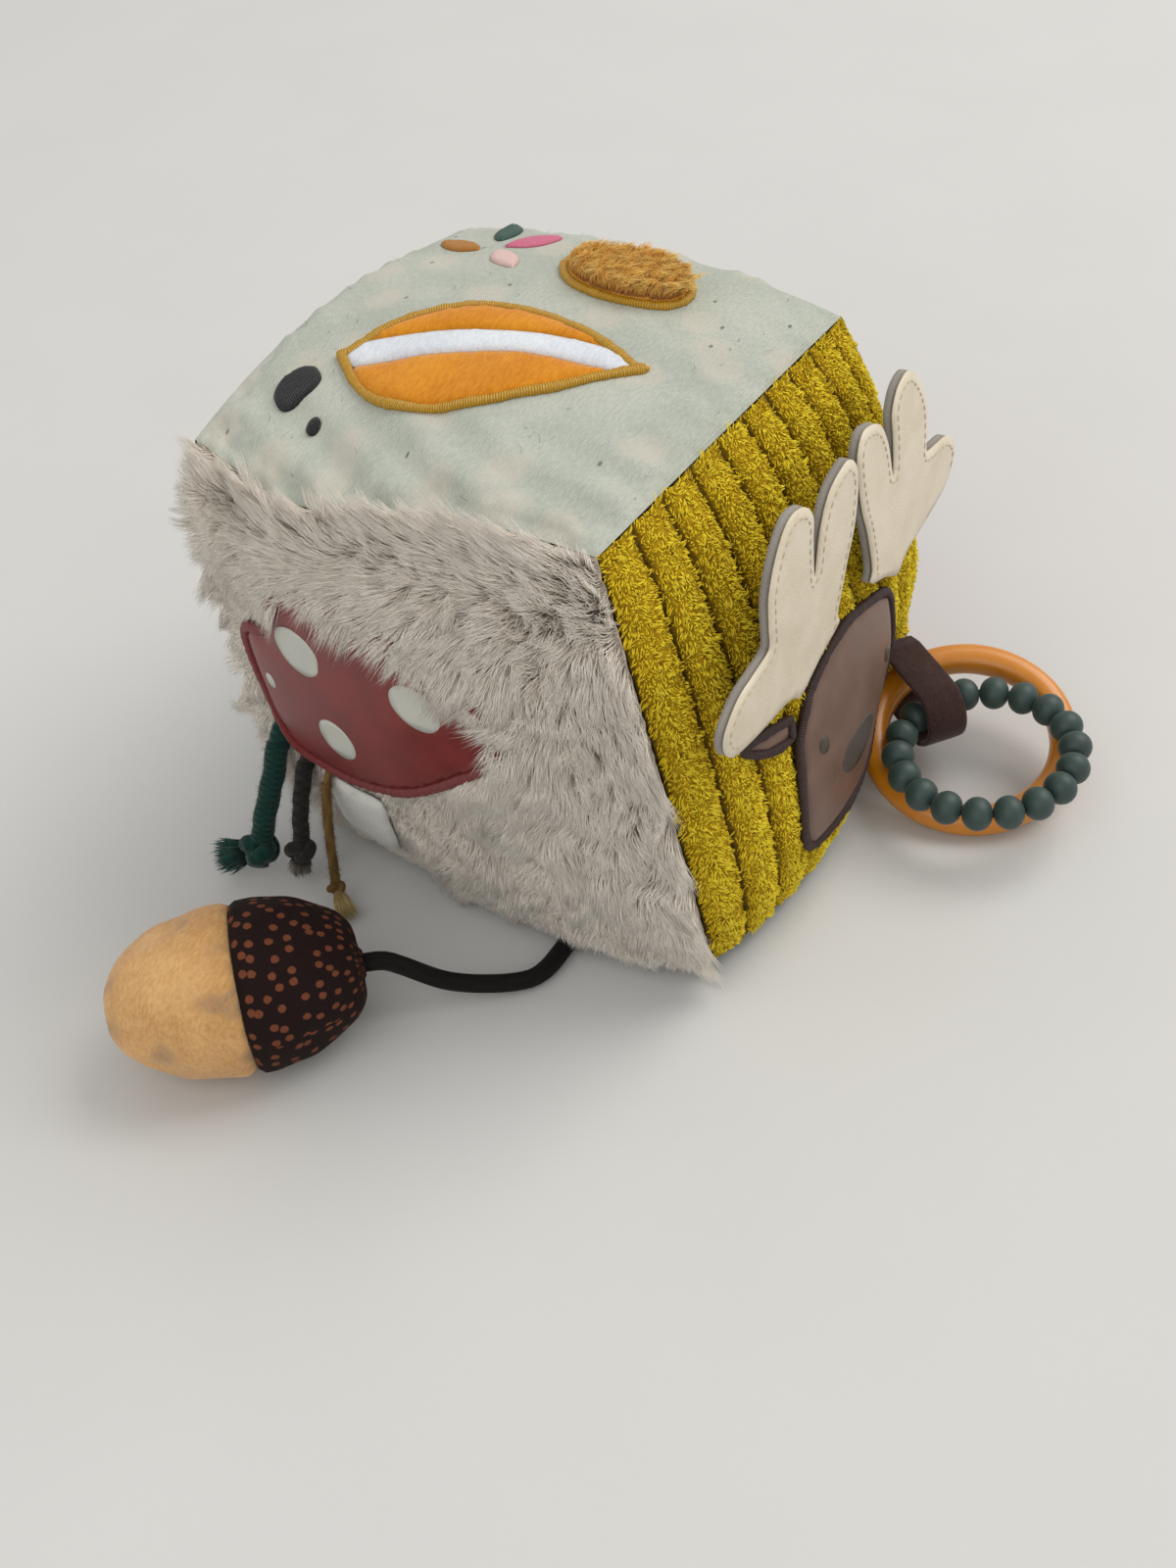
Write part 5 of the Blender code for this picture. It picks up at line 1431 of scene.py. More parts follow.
@dataclass(frozen=True)
class RibSide:
    """The curly nap on the ribs: short curled hairs, with painted shade that makes those low in the valleys
    darker.
    """

    rows: int = 206
    length: float = 0.0021
    radius: float = 0.00030
    tuft: float = 0.0023

    def make(self, holes: tuple) -> None:
        """Plant the hairs on a shaken grid outside the head, and build them as three pieces."""
        rng = np.random.default_rng(41)
        half = BLOCK.half - 0.0004
        u, v = shaken(self.rows, half, rng)
        ribs, wave = BLOCK.ribs(u, v)
        flat = np.stack([u, v], 1)
        keep = (BLOCK.at(Side.RIGHT, u, v)[:, 2] > HAIR_OVER_FLOOR) & (wave > 0.42)
        for hole in holes:
            keep &= ~inside(flat, hole)
        u, v, ribs, wave, flat = u[keep], v[keep], ribs[keep], wave[keep], flat[keep]
        count = len(u)
        right, up, out = BLOCK.tangents(Side.RIGHT, u, v)
        pitch = 2 * BLOCK.half / BLOCK.rib_count
        across = np.cos(np.pi * ((u + BLOCK.half) % pitch) / pitch)
        warp = two_ripples(flat, 0.005, 51)
        tuft, centre = tufts((flat + warp * 0.0007 + half) / self.tuft, self.tuft, 100, 3, rng)
        out = out - right * (across * 0.9)[:, None]
        out = unit(out)
        length = self.length * (0.45 + 0.55 * wave) * (1 + 0.12 * rng.normal(size=count) + 0.16
            * tuft[:, 2]).clip(0.5, 1.6)
        pull = centre * 0.62 / length[:, None] + 0.36 * tuft[:, :2]
        front = 0.9 * np.exp(-((half + u) / 0.0035) ** 2)
        top = 1.0 * np.exp(-((half - v) / 0.0035) ** 2)
        lean = right * (pull[:, :1] - front[:, None]) + up * (pull[:, 1:] - 0.25 + top[:, None])
        # painted shade: hairs planted lower on a rib get a darker tone
        tone = np.clip((wave - 0.50) * 1.7 + 0.15 * rng.normal(size=count) + 0.15 * tuft[:, 2], 0, 1)
        roots = BLOCK.cloth(Side.RIGHT, u, v, ribs - 0.0004)
        for number, part in enumerate(np.array_split(rng.permutation(count), 3)):
            obj = hairs(f"rib_nap_{number + 1}", roots[part], out[part], lean[part], length[part],
                        self.radius, tone[part], 0.10, 60 + number)
            dress(obj, PLUSH_HAIR, "block", ())


@dataclass(frozen=True)
class Mushroom:
    """The mushroom on the fur: a padded leatherette cap with printed spots, its border and its stem."""

    cap_size: tuple = CAP_SIZE
    cap_at: tuple = CAP_AT
    stem_size: tuple = STEM_SIZE
    stem_at: tuple = STEM_AT
    cap_shares: tuple = (
        (1.00, 0.10), (0.92, -0.16), (0.62, -0.44), (0.14, -0.80), (-0.36, -0.97), (-0.76, -0.95),
        (-0.93, -0.74),
        (-0.98, -0.40), (-1.00, 0.02), (-0.91, 0.23), (-0.72, 0.33), (-0.62, 0.52), (-0.46, 0.82),
        (-0.22, 0.99),
        (0.06, 0.95), (0.40, 0.76), (0.72, 0.52), (0.94, 0.30))
    stem_shares: tuple = (
        (-0.36, 0.94), (0.26, 0.99), (0.86, 0.96), (0.78, 0.36), (0.68, -0.16), (0.46, -0.64), (0.20, -0.95),
        (-0.34, -0.99), (-0.88, -0.97), (-0.84, -0.50), (-0.70, 0.06), (-0.52, 0.56))
    spots: tuple = ((-0.038, 0.024, 0.0195, 0.0215, 0.0), (-0.033, -0.013, 0.0150, 0.0165, 0.0),
                    (0.009, 0.018, 0.0190, 0.0175, -30.0), (-0.060, -0.001, 0.0042, 0.0065, 0.0))

    def outlines(self) -> tuple:
        """Return the outlines of the cap and of the stem."""
        return (placed(self.cap_shares, *self.cap_size, self.cap_at),
                placed(self.stem_shares, *self.stem_size, self.stem_at))

    def make(self) -> None:
        """Build the cap, its spots, its border and the stem."""
        cap, stem = self.outlines()
        leaf = Patch(Side.FRONT, 0.0030, 0.0012, 0.0015, 0.0010)
        leaf.make("mushroom_cap_pad", inset(cap, PAD_INSET), RED_LEATHER, ("mushroom_cap",),
                  "red_leatherette")
        spot = Patch(Side.FRONT, 0.0022, 0.00012, 0.0002, 0.0)
        for number, (u, v, width, height, turn) in enumerate(self.spots):
            loop = placed(ROUND_SHARES, width, height, (u, v), turn)
            away = edge_distance(np.array([[u, v]]), cap)[0]
            lift = leaf.crest(min(away, 0.03)) + 0.00004
            spot.make(f"mushroom_spot_{number + 1}", loop, PALE_PRINT, (), "red_leatherette", lift)
        edging("mushroom_edge", Side.FRONT, inset(cap, BORDER_INSET), 0.0034, 0.0030, RED_SATIN,
               ("mushroom_border",), 3)
        Patch(Side.FRONT, 0.0030, 0.0012, 0.0012, 0.0006).make(
            "mushroom_stalk", stem, WHITE_CLOTH, ("mushroom_stem",), "white_cloth")


@dataclass(frozen=True)
class LeafDesign:
    """The jersey top's design: a big velour leaf, a fluffy one, two berries and a sprig of petals."""

    length: float = 0.108
    width: float = 0.056
    band: float = 0.013
    at: tuple = (-0.050, -0.034)
    turn: float = 17.0
    bow: float = 0.10
    width_shares: tuple = ((0.00, 0.00), (0.08, 0.42), (0.20, 0.76), (0.34, 0.96), (0.48, 1.00),
                           (0.62, 0.90),
                           (0.76, 0.68), (0.88, 0.38), (0.96, 0.14), (1.00, 0.00))
    fluffy_shares: tuple = ((-1.00, 0.05), (-0.86, -0.52), (-0.45, -0.92), (0.05, -0.98), (0.55, -0.80),
                            (0.93, -0.38), (1.00, 0.15), (0.80, 0.66), (0.30, 0.98), (-0.25, 0.88),
                            (-0.62, 0.62))
    petal_shares: tuple = ((-1.00, 0.0), (-0.70, -0.55), (-0.20, -0.95), (0.35, -0.88), (0.80, -0.45),
                           (1.00, 0.0),
                           (0.80, 0.45), (0.35, 0.88), (-0.20, 0.95), (-0.70, 0.55))
    sprig_at: tuple = (-0.046, 0.054)
    sprig_size: tuple = (0.021, 0.010)

    def spread(self, points: Array) -> Array:
        """Turn and place points given along and across the leaf."""
        return turned(points, self.turn) + np.array(self.at)

    def leaf(self) -> None:
        """Build the big leaf: two velour halves, the white band between them and the gold edge."""
        a = np.linspace(0, 1, 41)
        half = np.interp(a, *np.array(self.width_shares).T) * self.width / 2
        half = np.convolve(np.pad(half, 2, "edge"), np.ones(5) / 5, "valid") * (1 - np.abs(2 * a - 1) ** 24)
        x = a * self.length
        rib = self.bow * self.width * np.sin(np.pi * a)
        inner = half - 0.0018
        slot = self.band / 2
        pad = Patch(Side.TOP, 0.0028, 0.0012, 0.0010, 0.0006)
        for word, sign in (("near", -1), ("far", 1)):
            keep = inner - sign * rib > slot + 0.0002
            outer = np.stack([x[keep], sign * inner[keep]], 1)
            back = np.stack([x[keep], (rib + sign * slot)[keep]], 1)[::-1]
            loop = even_loop(self.spread(np.concatenate([outer, back])), 0.0018)
            pad.make(f"leaf_velour_{word}", loop, ORANGE_VELOUR, (f"leaf_half_{word}",), "orange_velour")
        keep = (a > 0.01) & (a < 0.99)
        low = np.maximum(-inner, rib - slot + 0.0003)[keep]
        high = np.minimum(inner, rib + slot - 0.0003)[keep]
        loop = np.concatenate([np.stack([x[keep], low], 1), np.stack([x[keep], high], 1)[::-1]])
        pad.make("leaf_white_band", even_loop(self.spread(loop), 0.0018), WHITE_PLUSH, ("leaf_band",),
                 "white_plush")
        rim = half - 0.0012
        outline = np.concatenate([np.stack([x, -rim], 1), np.stack([x, rim], 1)[-2:0:-1]])
        edging("leaf_edge", Side.TOP, self.spread(outline), 0.0030, 0.0024, GOLD, ("leaf_border",),
               5)

    def fluffy(self) -> None:
        """Build the fluffy leaf: its backing, its gold edge and its long golden hairs."""
        loop = placed(self.fluffy_shares, 0.054, 0.040, (0.016, 0.048), -14.0)
        Patch(Side.TOP, 0.0028, 0.0016, 0.0012, 0.0004).make(
            "fluffy_backing", inset(loop, PAD_INSET), GOLD_BACKING, ("fluffy_leaf",), "ochre_fur")
        edging("fluffy_edge", Side.TOP, inset(loop, BORDER_INSET), 0.0028, 0.0024, GOLD, ("fluffy_border",),
               6)
        rng = np.random.default_rng(71)
        spots = rng.uniform(-1, 1, (22000, 2)) * [0.030, 0.026] + [0.016, 0.048]
        spots = spots[inside(spots, inset(loop, 0.0032))]
        u, v = spots.T
        right, up, out = BLOCK.tangents(Side.TOP, u, v)
        wave = two_ripples(spots, 0.007, 72)
        lean = right * (0.50 + 0.25 * wave[:, :1]) + up * (-0.25 + 0.30 * wave[:, 1:])
        length = 0.0075 * (1 + 0.15 * rng.normal(size=len(u))).clip(0.6, 1.4)
        roots = BLOCK.cloth(Side.TOP, u, v, BLOCK.rumple(u, v) + 0.0018)
        tone = np.clip(0.5 + 0.3 * wave[:, 0] + 0.2 * rng.normal(size=len(u)), 0, 1)
        obj = hairs("fluffy_hair", roots, out, lean, length, 0.00018, tone, 0.05, 74)
        dress(obj, GOLD_FUR, "block", ())

    def small(self) -> None:
        """Build the berries and the sprig as raised satin stitch."""
        raised = Patch(Side.TOP, 0.0016, 0.0016, 0.0016, 0.0006)
        raised.make("berry_oval_stitch", placed(OVAL_SHARES, 0.019, 0.013, (-0.058, -0.050), 62.0),
                    BLACK_SATIN,
                    ("berry_oval",), "black_satin", 0.0003, 62.0)
        raised.make("berry_dot_stitch", placed(ROUND_SHARES, 0.006, 0.006, (-0.042, -0.060)), BLACK_SATIN,
                    ("berry_dot",), "black_satin", 0.0003)
        petals = (("petal_brown", -0.72, -0.10, 168.0, BROWN_SATIN, "sprig_petal_brown", "brown_satin"),
                  ("petal_pink", 0.52, 0.38, 48.0, PINK_SATIN, "sprig_petal_pink", "pink_satin"),
                  ("petal_pale", 0.58, -0.52, -38.0, PALE_SATIN, "sprig_petal_pale", "pale_pink_satin"),
                  ("petal_green", -0.36, 0.78, 112.0, LEAF_SATIN, "sprig_leaf_green", "leaf_green_satin"))
        size = self.sprig_size[0]
        for name, along, across, turn, finish, node, slot in petals:
            at = (self.sprig_at[0] + along * size, self.sprig_at[1] + across * size)
            loop = placed(self.petal_shares, *self.sprig_size, at, turn)
            Patch(Side.TOP, 0.0014, 0.0010, 0.0014, 0.0003).make(
                name, loop, finish, (node,), slot, 0.0003, turn + 20)

    def lint(self) -> None:
        """Scatter short dark fibres on the jersey."""
        rng = np.random.default_rng(81)
        u, v = rng.uniform(-0.083, 0.083, (2, 60))
        right, up, out = BLOCK.tangents(Side.TOP, u, v)
        way = rng.normal(size=(60, 2)) * 0.8
        lean = right * way[:, :1] + up * way[:, 1:]
        roots = BLOCK.cloth(Side.TOP, u, v, BLOCK.rumple(u, v) + 0.0001)
        obj = hairs("jersey_lint", roots, out, lean, rng.uniform(0.0010, 0.0024, 60), 0.00006,
                    rng.uniform(0, 1, 60), 0.3, 82)
        dress(obj, Hair("lint_fibre", (120, 120, 116), (58, 60, 60), root=(90, 90, 88)), "block", ())

    def make(self) -> None:
        """Build every piece of the design."""
        self.leaf()
        self.fluffy()
        self.small()
        self.lint()


@dataclass(frozen=True)
class Head:
    """The animal's head on the ribs: leatherette face and ear with stitched edges and printed features."""

    size: tuple = (0.080, 0.074)
    at: tuple = (-0.0005, -0.0270)
    shares: tuple = (
        (-0.94, -0.92), (-1.01, -0.70), (-0.98, -0.35), (-0.94, 0.03), (-0.88, 0.38), (-0.74, 0.60),
        (-0.59, 0.78),
        (-0.26, 0.93), (0.14, 1.00), (0.50, 0.93), (0.81, 0.82), (0.95, 0.66), (0.97, 0.27), (0.94, -0.24),
        (0.96, -0.70), (0.90, -0.94), (0.60, -1.00), (0.0, -1.02), (-0.60, -1.00))
    ear_shares: tuple = ((0.93, -0.72), (0.35, -0.95), (-0.35, -0.72), (-0.85, -0.20), (-1.00, 0.25),
                         (-0.70, 0.55),
                         (-0.10, 0.72), (0.50, 0.80), (0.93, 0.72), (1.00, 0.0))
    marks: tuple = (("eye_left", -0.0240, -0.0220, 0.0056, 0.0072, 8.0),
                    ("eye_right", 0.0270, -0.0220, 0.0056, 0.0072, 0.0),
                    ("nose", -0.0025, -0.0390, 0.0270, 0.0160, 0.0))

    def outlines(self) -> tuple:
        """Return the outlines of the face and of the ear."""
        return placed(self.shares, *self.size, self.at), placed(self.ear_shares, 0.027, 0.0125,
            (-0.0485, -0.0030), -15.0)

    def make(self) -> None:
        """Build the face, its marks, the ear and their borders."""
        face, ear = self.outlines()
        pad = Patch(Side.RIGHT, 0.0028, 0.0012, 0.0015, 0.0006)
        pad.make("face_leather", inset(face, PAD_INSET), BROWN_LEATHER, ("head_panel",), "brown_leatherette")
        pad.make("ear_leather", inset(ear, PAD_INSET), BROWN_LEATHER, ("ear_left",), "brown_leatherette")
        edging("face_edge", Side.RIGHT, inset(face, BORDER_INSET), 0.0030, 0.0028, DARK_SATIN,
               ("head_border",),
               7)
        edging("ear_edge", Side.RIGHT, inset(ear, BORDER_INSET), 0.0028, 0.0026, DARK_SATIN, ("ear_border",),
               8)
        flat = Patch(Side.RIGHT, 0.0018, 0.00010, 0.0002, 0.0)
        for name, u, v, width, height, turn in self.marks:
            away = edge_distance(np.array([[u, v]]), face)[0]
            lift = pad.crest(away) + 0.00006
            flat.make(f"{name}_print", placed(ROUND_SHARES, width, height, (u, v), turn), DARK_PRINT, (),
                      "brown_leatherette", lift)


@dataclass(frozen=True)
class Antler:
    """One soft antler: a leatherette plate on a felt one, with a running stitch near its edge."""

    word: str
    sign: int
    foot: tuple
    across: tuple
    up: tuple
    width: float = 0.080
    height: float = 0.066
    skin: float = 0.0012
    felt: float = 0.0022
    gap: float = 0.0002
    rise_share: float = 0.075
    roll: float = -2.0
    shares: tuple = (
        (-0.140, 0.105), (-0.125, 0.170), (-0.175, 0.380), (-0.222, 0.520), (-0.248, 0.670), (-0.246, 0.800),
        (-0.195, 0.878), (-0.115, 0.870), (-0.030, 0.815), (0.030, 0.690), (0.060, 0.540), (0.072, 0.500),
        (0.082, 0.560), (0.085, 0.690), (0.085, 0.800), (0.145, 0.885), (0.250, 0.900), (0.340, 0.805),
        (0.402, 0.660), (0.408, 0.520), (0.402, 0.420), (0.430, 0.392), (0.515, 0.372), (0.630, 0.340),
        (0.715, 0.250), (0.722, 0.160), (0.660, 0.070), (0.525, 0.030), (0.360, 0.010), (0.250, 0.000),
        (0.185, -0.030), (0.140, -0.060), (0.0, 0.030))

    def outline(self) -> Array:
        """Return the plate's outline in its own plane."""
        points = np.array(self.shares) * [self.sign * self.width, self.height]
        points = turned(points, self.roll) + [0, self.rise_share * self.height]
        return even_loop(smooth_loop(points), 0.0011)

    def stand(self, flat: Array, depth: Array) -> Array:
        """Place flat points at a depth behind the plate's face, with the lobes bowed a little."""
        across, up = np.array(self.across), np.array(self.up)
        out = np.cross(across, up)
        bow = 0.0011 * np.sin(flat[:, 1] / self.height * math.pi) * (0.6 + np.abs(flat[:, 0]) / self.width)
        return (np.array(self.foot) + flat[:, :1] * across + flat[:, 1:] * up + (bow - depth)[:, None] * out)

    def plate(self, name: str, top: float, thick: float, soft: float, finish: Finish, node: str) -> None:
        """Build one plate whose two edges are rounded over a small distance."""
        loop = self.outline()
        flat, tris = fill(loop, 0.0022)
        away = edge_distance(flat, loop)
        dip = soft * np.exp(-away / 0.0006)
        upper, lower = self.stand(flat, top + dip), self.stand(flat, top + thick - dip)
        obj = slab(name, upper, lower, tris, len(loop), flat)
        dress(obj, finish, f"antler_{self.word}", (node,))

    def make(self) -> None:
        """Build both plates and the stitches on both faces."""
        word = self.word
        self.plate(f"antler_{word}_leather", 0.0, self.skin, 0.00035, CREAM_LEATHER, f"antler_{word}_skin")
        self.plate(f"antler_{word}_backing", self.skin + self.gap, self.felt + self.gap, 0.00030, GREY_FELT,
                   f"antler_{word}_felt")
        line = inset(self.outline(), 0.0027)
        line = line[line[:, 1] > 0.012]
        cut = int(np.argmax(np.linalg.norm(np.roll(line, -1, 0) - line, axis=1))) + 1
        line = even(np.roll(line, -cut, 0), 260)
        out = np.cross(np.array(self.across), np.array(self.up))
        back = self.skin + self.gap * 2 + self.felt
        for name, depth in (("front", -0.00005), ("back", back + 0.00005)):
            path = self.stand(line, np.full(len(line), depth))
            obj = stitch_row(f"antler_{word}_stitch_{name}", path, out, 0.0031, 0.0021, 0.00026)
            dress(obj, CREAM_THREAD, f"antler_{word}", ())


@dataclass(frozen=True)
class KnottedCord:
    """A free cord with an overhand knot and a frayed end: its route in metres from its start."""

    name: str
    start: tuple
    route: tuple
    radius: float
    knot_share: float
    tassel: tuple
    tassel_length: float
    finish: Finish
    fray: Finish
    slots: tuple
    stiffness: str = "limp"
    squash: float = 0.80
    gap: float = 0.0004

    def make(self) -> None:
        start = np.array(self.start)
        route = np.array(self.route, float)
        heading = route[-1] - route[-2]
        heading /= np.linalg.norm(heading)
        knot_r = self.radius * self.knot_share
        knot_at = start + route[-1] + heading * (knot_r * self.squash + self.gap)
        through = np.concatenate([route, [route[-1] + heading * (knot_r * self.squash * 2)]])
        path = start + smooth_route(through, 30)
        run = np.linspace(0, 1, len(path))
        twist = 1 + 0.05 * np.cos(3 * angles(20) + run[:, None] * 26)
        section = oval_section(2 * self.radius, 2 * self.radius, 20)[None] * twist[..., None]
        obj = sweep(f"{self.name}_cord_braid", path, (1.0, 0.0, 0.0), section, False)
        body = f"{self.name}_tie"
        dress(obj, self.finish, body, (f"{self.name}_cord",))
        knot = self.knot(knot_at, heading, knot_r)
        dress(knot, self.finish, body, (f"{self.name}_knot",))
        end = self.frayed(knot_at, heading, knot_r)
        dress(end, self.fray, body, (f"{self.name}_tassel",))
        self.root()
        self.fuzz(path)

    def fuzz(self, path: Array) -> None:
        """Build the fine fibres that stand off the cord."""
        rng = np.random.default_rng(12)
        count = 1100
        run = rng.uniform(0, len(path) - 1.001, count)
        low = run.astype(int)
        at = path[low] + (path[low + 1] - path[low]) * (run - low)[:, None]
        along = path[low + 1] - path[low]
        out = np.cross(along, rng.normal(size=(count, 3)))
        out = unit(out)
        lean = rng.normal(size=(count, 3)) * 0.5
        length = rng.uniform(0.0006, 0.0014, count)
        obj = hairs(f"{self.name}_cord_fuzz", at + out * self.radius * 0.97, out, lean, length, 0.00005,
                    rng.uniform(0, 1, count), 0.2, 13)
        dress(obj, self.fray if self.name == "green" else self.finish, f"{self.name}_tie", ())

    def root(self) -> None:
        """Build the cord's hidden end, which goes up into the pile and under the cap's border."""
        start = np.array(self.start)
        line = ((0.0, 0.0002, -0.0022), (0.0002, 0.0012, 0.0016), (0.0006, 0.0040, 0.0048),
                (0.0008, 0.0080, 0.0060))
        path = start + smooth_route(line, 12)
        section = oval_section(1.80 * self.radius, 1.80 * self.radius, 16)
        obj = sweep(f"{self.name}_cord_root", path, (1.0, 0.0, 0.0), section, False)
        dress(obj, self.finish, "block", ())

    def knot(self, at: Array, heading: Array, size: float) -> Piece:
        """Build the knot, a tube along (sin t + 2 sin 2t, cos t - 2 cos 2t, -1.15 sin 3t)."""
        t = angles(90)
        line = np.stack([np.sin(t) + 2 * np.sin(2 * t), np.cos(t) - 2 * np.cos(2 * t),
                         -np.sin(3 * t) * 1.15], 1)
        thick = min(self.radius * 0.80, size * 0.42)
        line *= (size * 1.02 - thick) / 3
        turn = np.array(Vector(heading).to_track_quat("Z", "Y").to_matrix())
        path = at + line @ turn.T
        section = oval_section(2 * thick, 2 * thick, 12)
        return sweep(f"{self.name}_cord_knot", path, unit(path - at), section, True)

    def frayed(self, at: Array, heading: Array, size: float) -> Piece:
        """Build the frayed end: hairs that spread from the knot's side."""
        way = np.array(self.tassel, float)
        way /= np.linalg.norm(way)
        along = float(np.dot(way, heading))
        reach = size / math.sqrt((along / self.squash) ** 2 + 1 - along ** 2)
        rng = np.random.default_rng(len(self.name))
        count = 420
        side = unit(np.cross(way, rng.normal(size=(count, 3))))
        spread = np.sqrt(rng.uniform(0, 1, count))[:, None]
        roots = at + way * (reach * 0.72) + side * spread * self.radius * 0.95
        out = way + side * spread * 0.22 + rng.normal(size=(count, 3)) * 0.05
        out = unit(out)
        lean = way * 0.30 + side * spread * 0.12 + np.array([0, 0, -0.05]) + rng.normal(size=(count,
            3)) * 0.04
        length = (self.tassel_length + reach * 0.28) * rng.uniform(0.72, 1.05, count)
        return hairs(f"{self.name}_cord_fray", roots, out, lean, length, self.radius * 0.075 + 0.00006,
                     rng.uniform(0, 1, count), 0.035, 90)


@dataclass(frozen=True)
class Teethers:
    """The amber ring, the ring of beads and the fabric strap that holds both."""

    amber_at: tuple = (0.1023, 0.0458, 0.014596)
    amber_axes: tuple = ((0.8752, 0.4837, 0.0), (-0.4588, 0.8301, 0.3169))
    amber_radius: float = 0.0306
    amber_tube: float = 0.0047
    bead_at: tuple = (0.1129, 0.0340, 0.022296)
    bead_axes: tuple = ((0.8514, -0.5246, 0.0), (0.5229, 0.8487, 0.0796))
    bead_ring: float = 0.0277
    bead_radius: float = 0.0054
    beads: int = 18
    root: tuple = (0.06605, 0.06144, 0.02373)
    heading: float = -36.0
    strap_width: float = 0.014
    strap_t: float = 0.0016
    clear: float = 0.0027
    slack: float = 0.0020

    def amber(self) -> None:
        """Build the amber ring: a squared-off oval carried round a circle."""
        x, y = (np.array(axis) for axis in self.amber_axes)
        path = np.array(self.amber_at) + self.amber_radius * circle(x, y, 120)
        section = oval_section(2 * self.amber_tube, 2 * self.amber_tube, 24, 0.80)
        obj = sweep("amber_teething_ring", path, np.cross(x, y), section, True)
        dress(obj, AMBER, "amber_teether", ("amber_ring",))

    def bead_string(self) -> None:
        """Build the beads, each a ball squeezed a little along the string, and the string through them."""
        x, y = (np.array(axis) for axis in self.bead_axes)
        z = np.cross(x, y)
        pitch = 2 * math.pi * self.bead_ring / self.beads
        out, along = circle(x, y, self.beads), circle(y, -x, self.beads)
        at = np.array(self.bead_at) + self.bead_ring * out
        axes = (along, out, np.broadcast_to(z, out.shape))
        obj = balls("bead_teething_ring", at, axes, pitch * 0.497, self.bead_radius, 15, 24, 0.92)
        dress(obj, TEAL, "bead_teether", ("bead_ring",))
        path = np.array(self.bead_at) + self.bead_ring * circle(x, y, 96)
        string = sweep("bead_string", path, z, oval_section(0.0022, 0.0022, 8), True)
        dress(string, DARK_CORD, "bead_teether", ())

    def strap(self) -> None:
        """Build the strap: a flat band from the seam over both rings, round the beads and back under."""
        heading = math.radians(self.heading)
        along = np.array([math.cos(heading), math.sin(heading), 0.0])
        across = np.array([-math.sin(heading), math.cos(heading), 0.0])
        root = np.array(self.root)
        tubes = []
        for at, axes, radius, thick in ((self.amber_at, self.amber_axes, self.amber_radius, self.amber_tube),
                                        (self.bead_at, self.bead_axes, self.bead_ring, self.bead_radius)):
            x, y = (np.array(axis) for axis in axes)
            flat = -np.array([along @ x, along @ y])
            flat /= np.linalg.norm(flat)
            near = np.array(at) + (x * flat[0] + y * flat[1]) * radius
            normal = np.cross(x, y)
            rise = abs(float(normal @ across)) * self.strap_width / 2
            bow = self.strap_width ** 2 / (8 * radius)
            tubes.append((float((near - root) @ along), near[2] - root[2], thick + self.clear + rise, bow))
        (s1, z1, h1, _), (s2, z2, h2, bow) = tubes
        wide = h2 / math.cos(math.radians(15)) + self.strap_t / 2
        tip = s2 + bow + self.slack
        turns = np.radians(np.arange(-90, 91, 30))
        h1 += self.strap_t / 2
        ends = [(0.0015, z1 - h1 + 0.0015), (0.0070, z1 - h1), (s1, z1 - h1)]
        arc = [(tip + wide * math.cos(a), z2 + wide * math.sin(a)) for a in turns]
        line = smooth_route(tuple(ends + arc + [(s1, z1 + h1), (0.0070, z1 + h1),
            (0.0015, z1 + h1 - 0.0015)]), 120)
        path = root + line[:, :1] * along + line[:, 1:] * np.array([0, 0, 1.0])
        edge = oval_section(self.strap_t, self.strap_width, 16, 0.35)
        obj = sweep("ring_strap", path, across, edge, False)
        dress(obj, STRAP, "loop", ("ring_loop",))

    def make(self) -> None:
        """Build the rings and the strap."""
        self.amber()
        self.bead_string()
        self.strap()


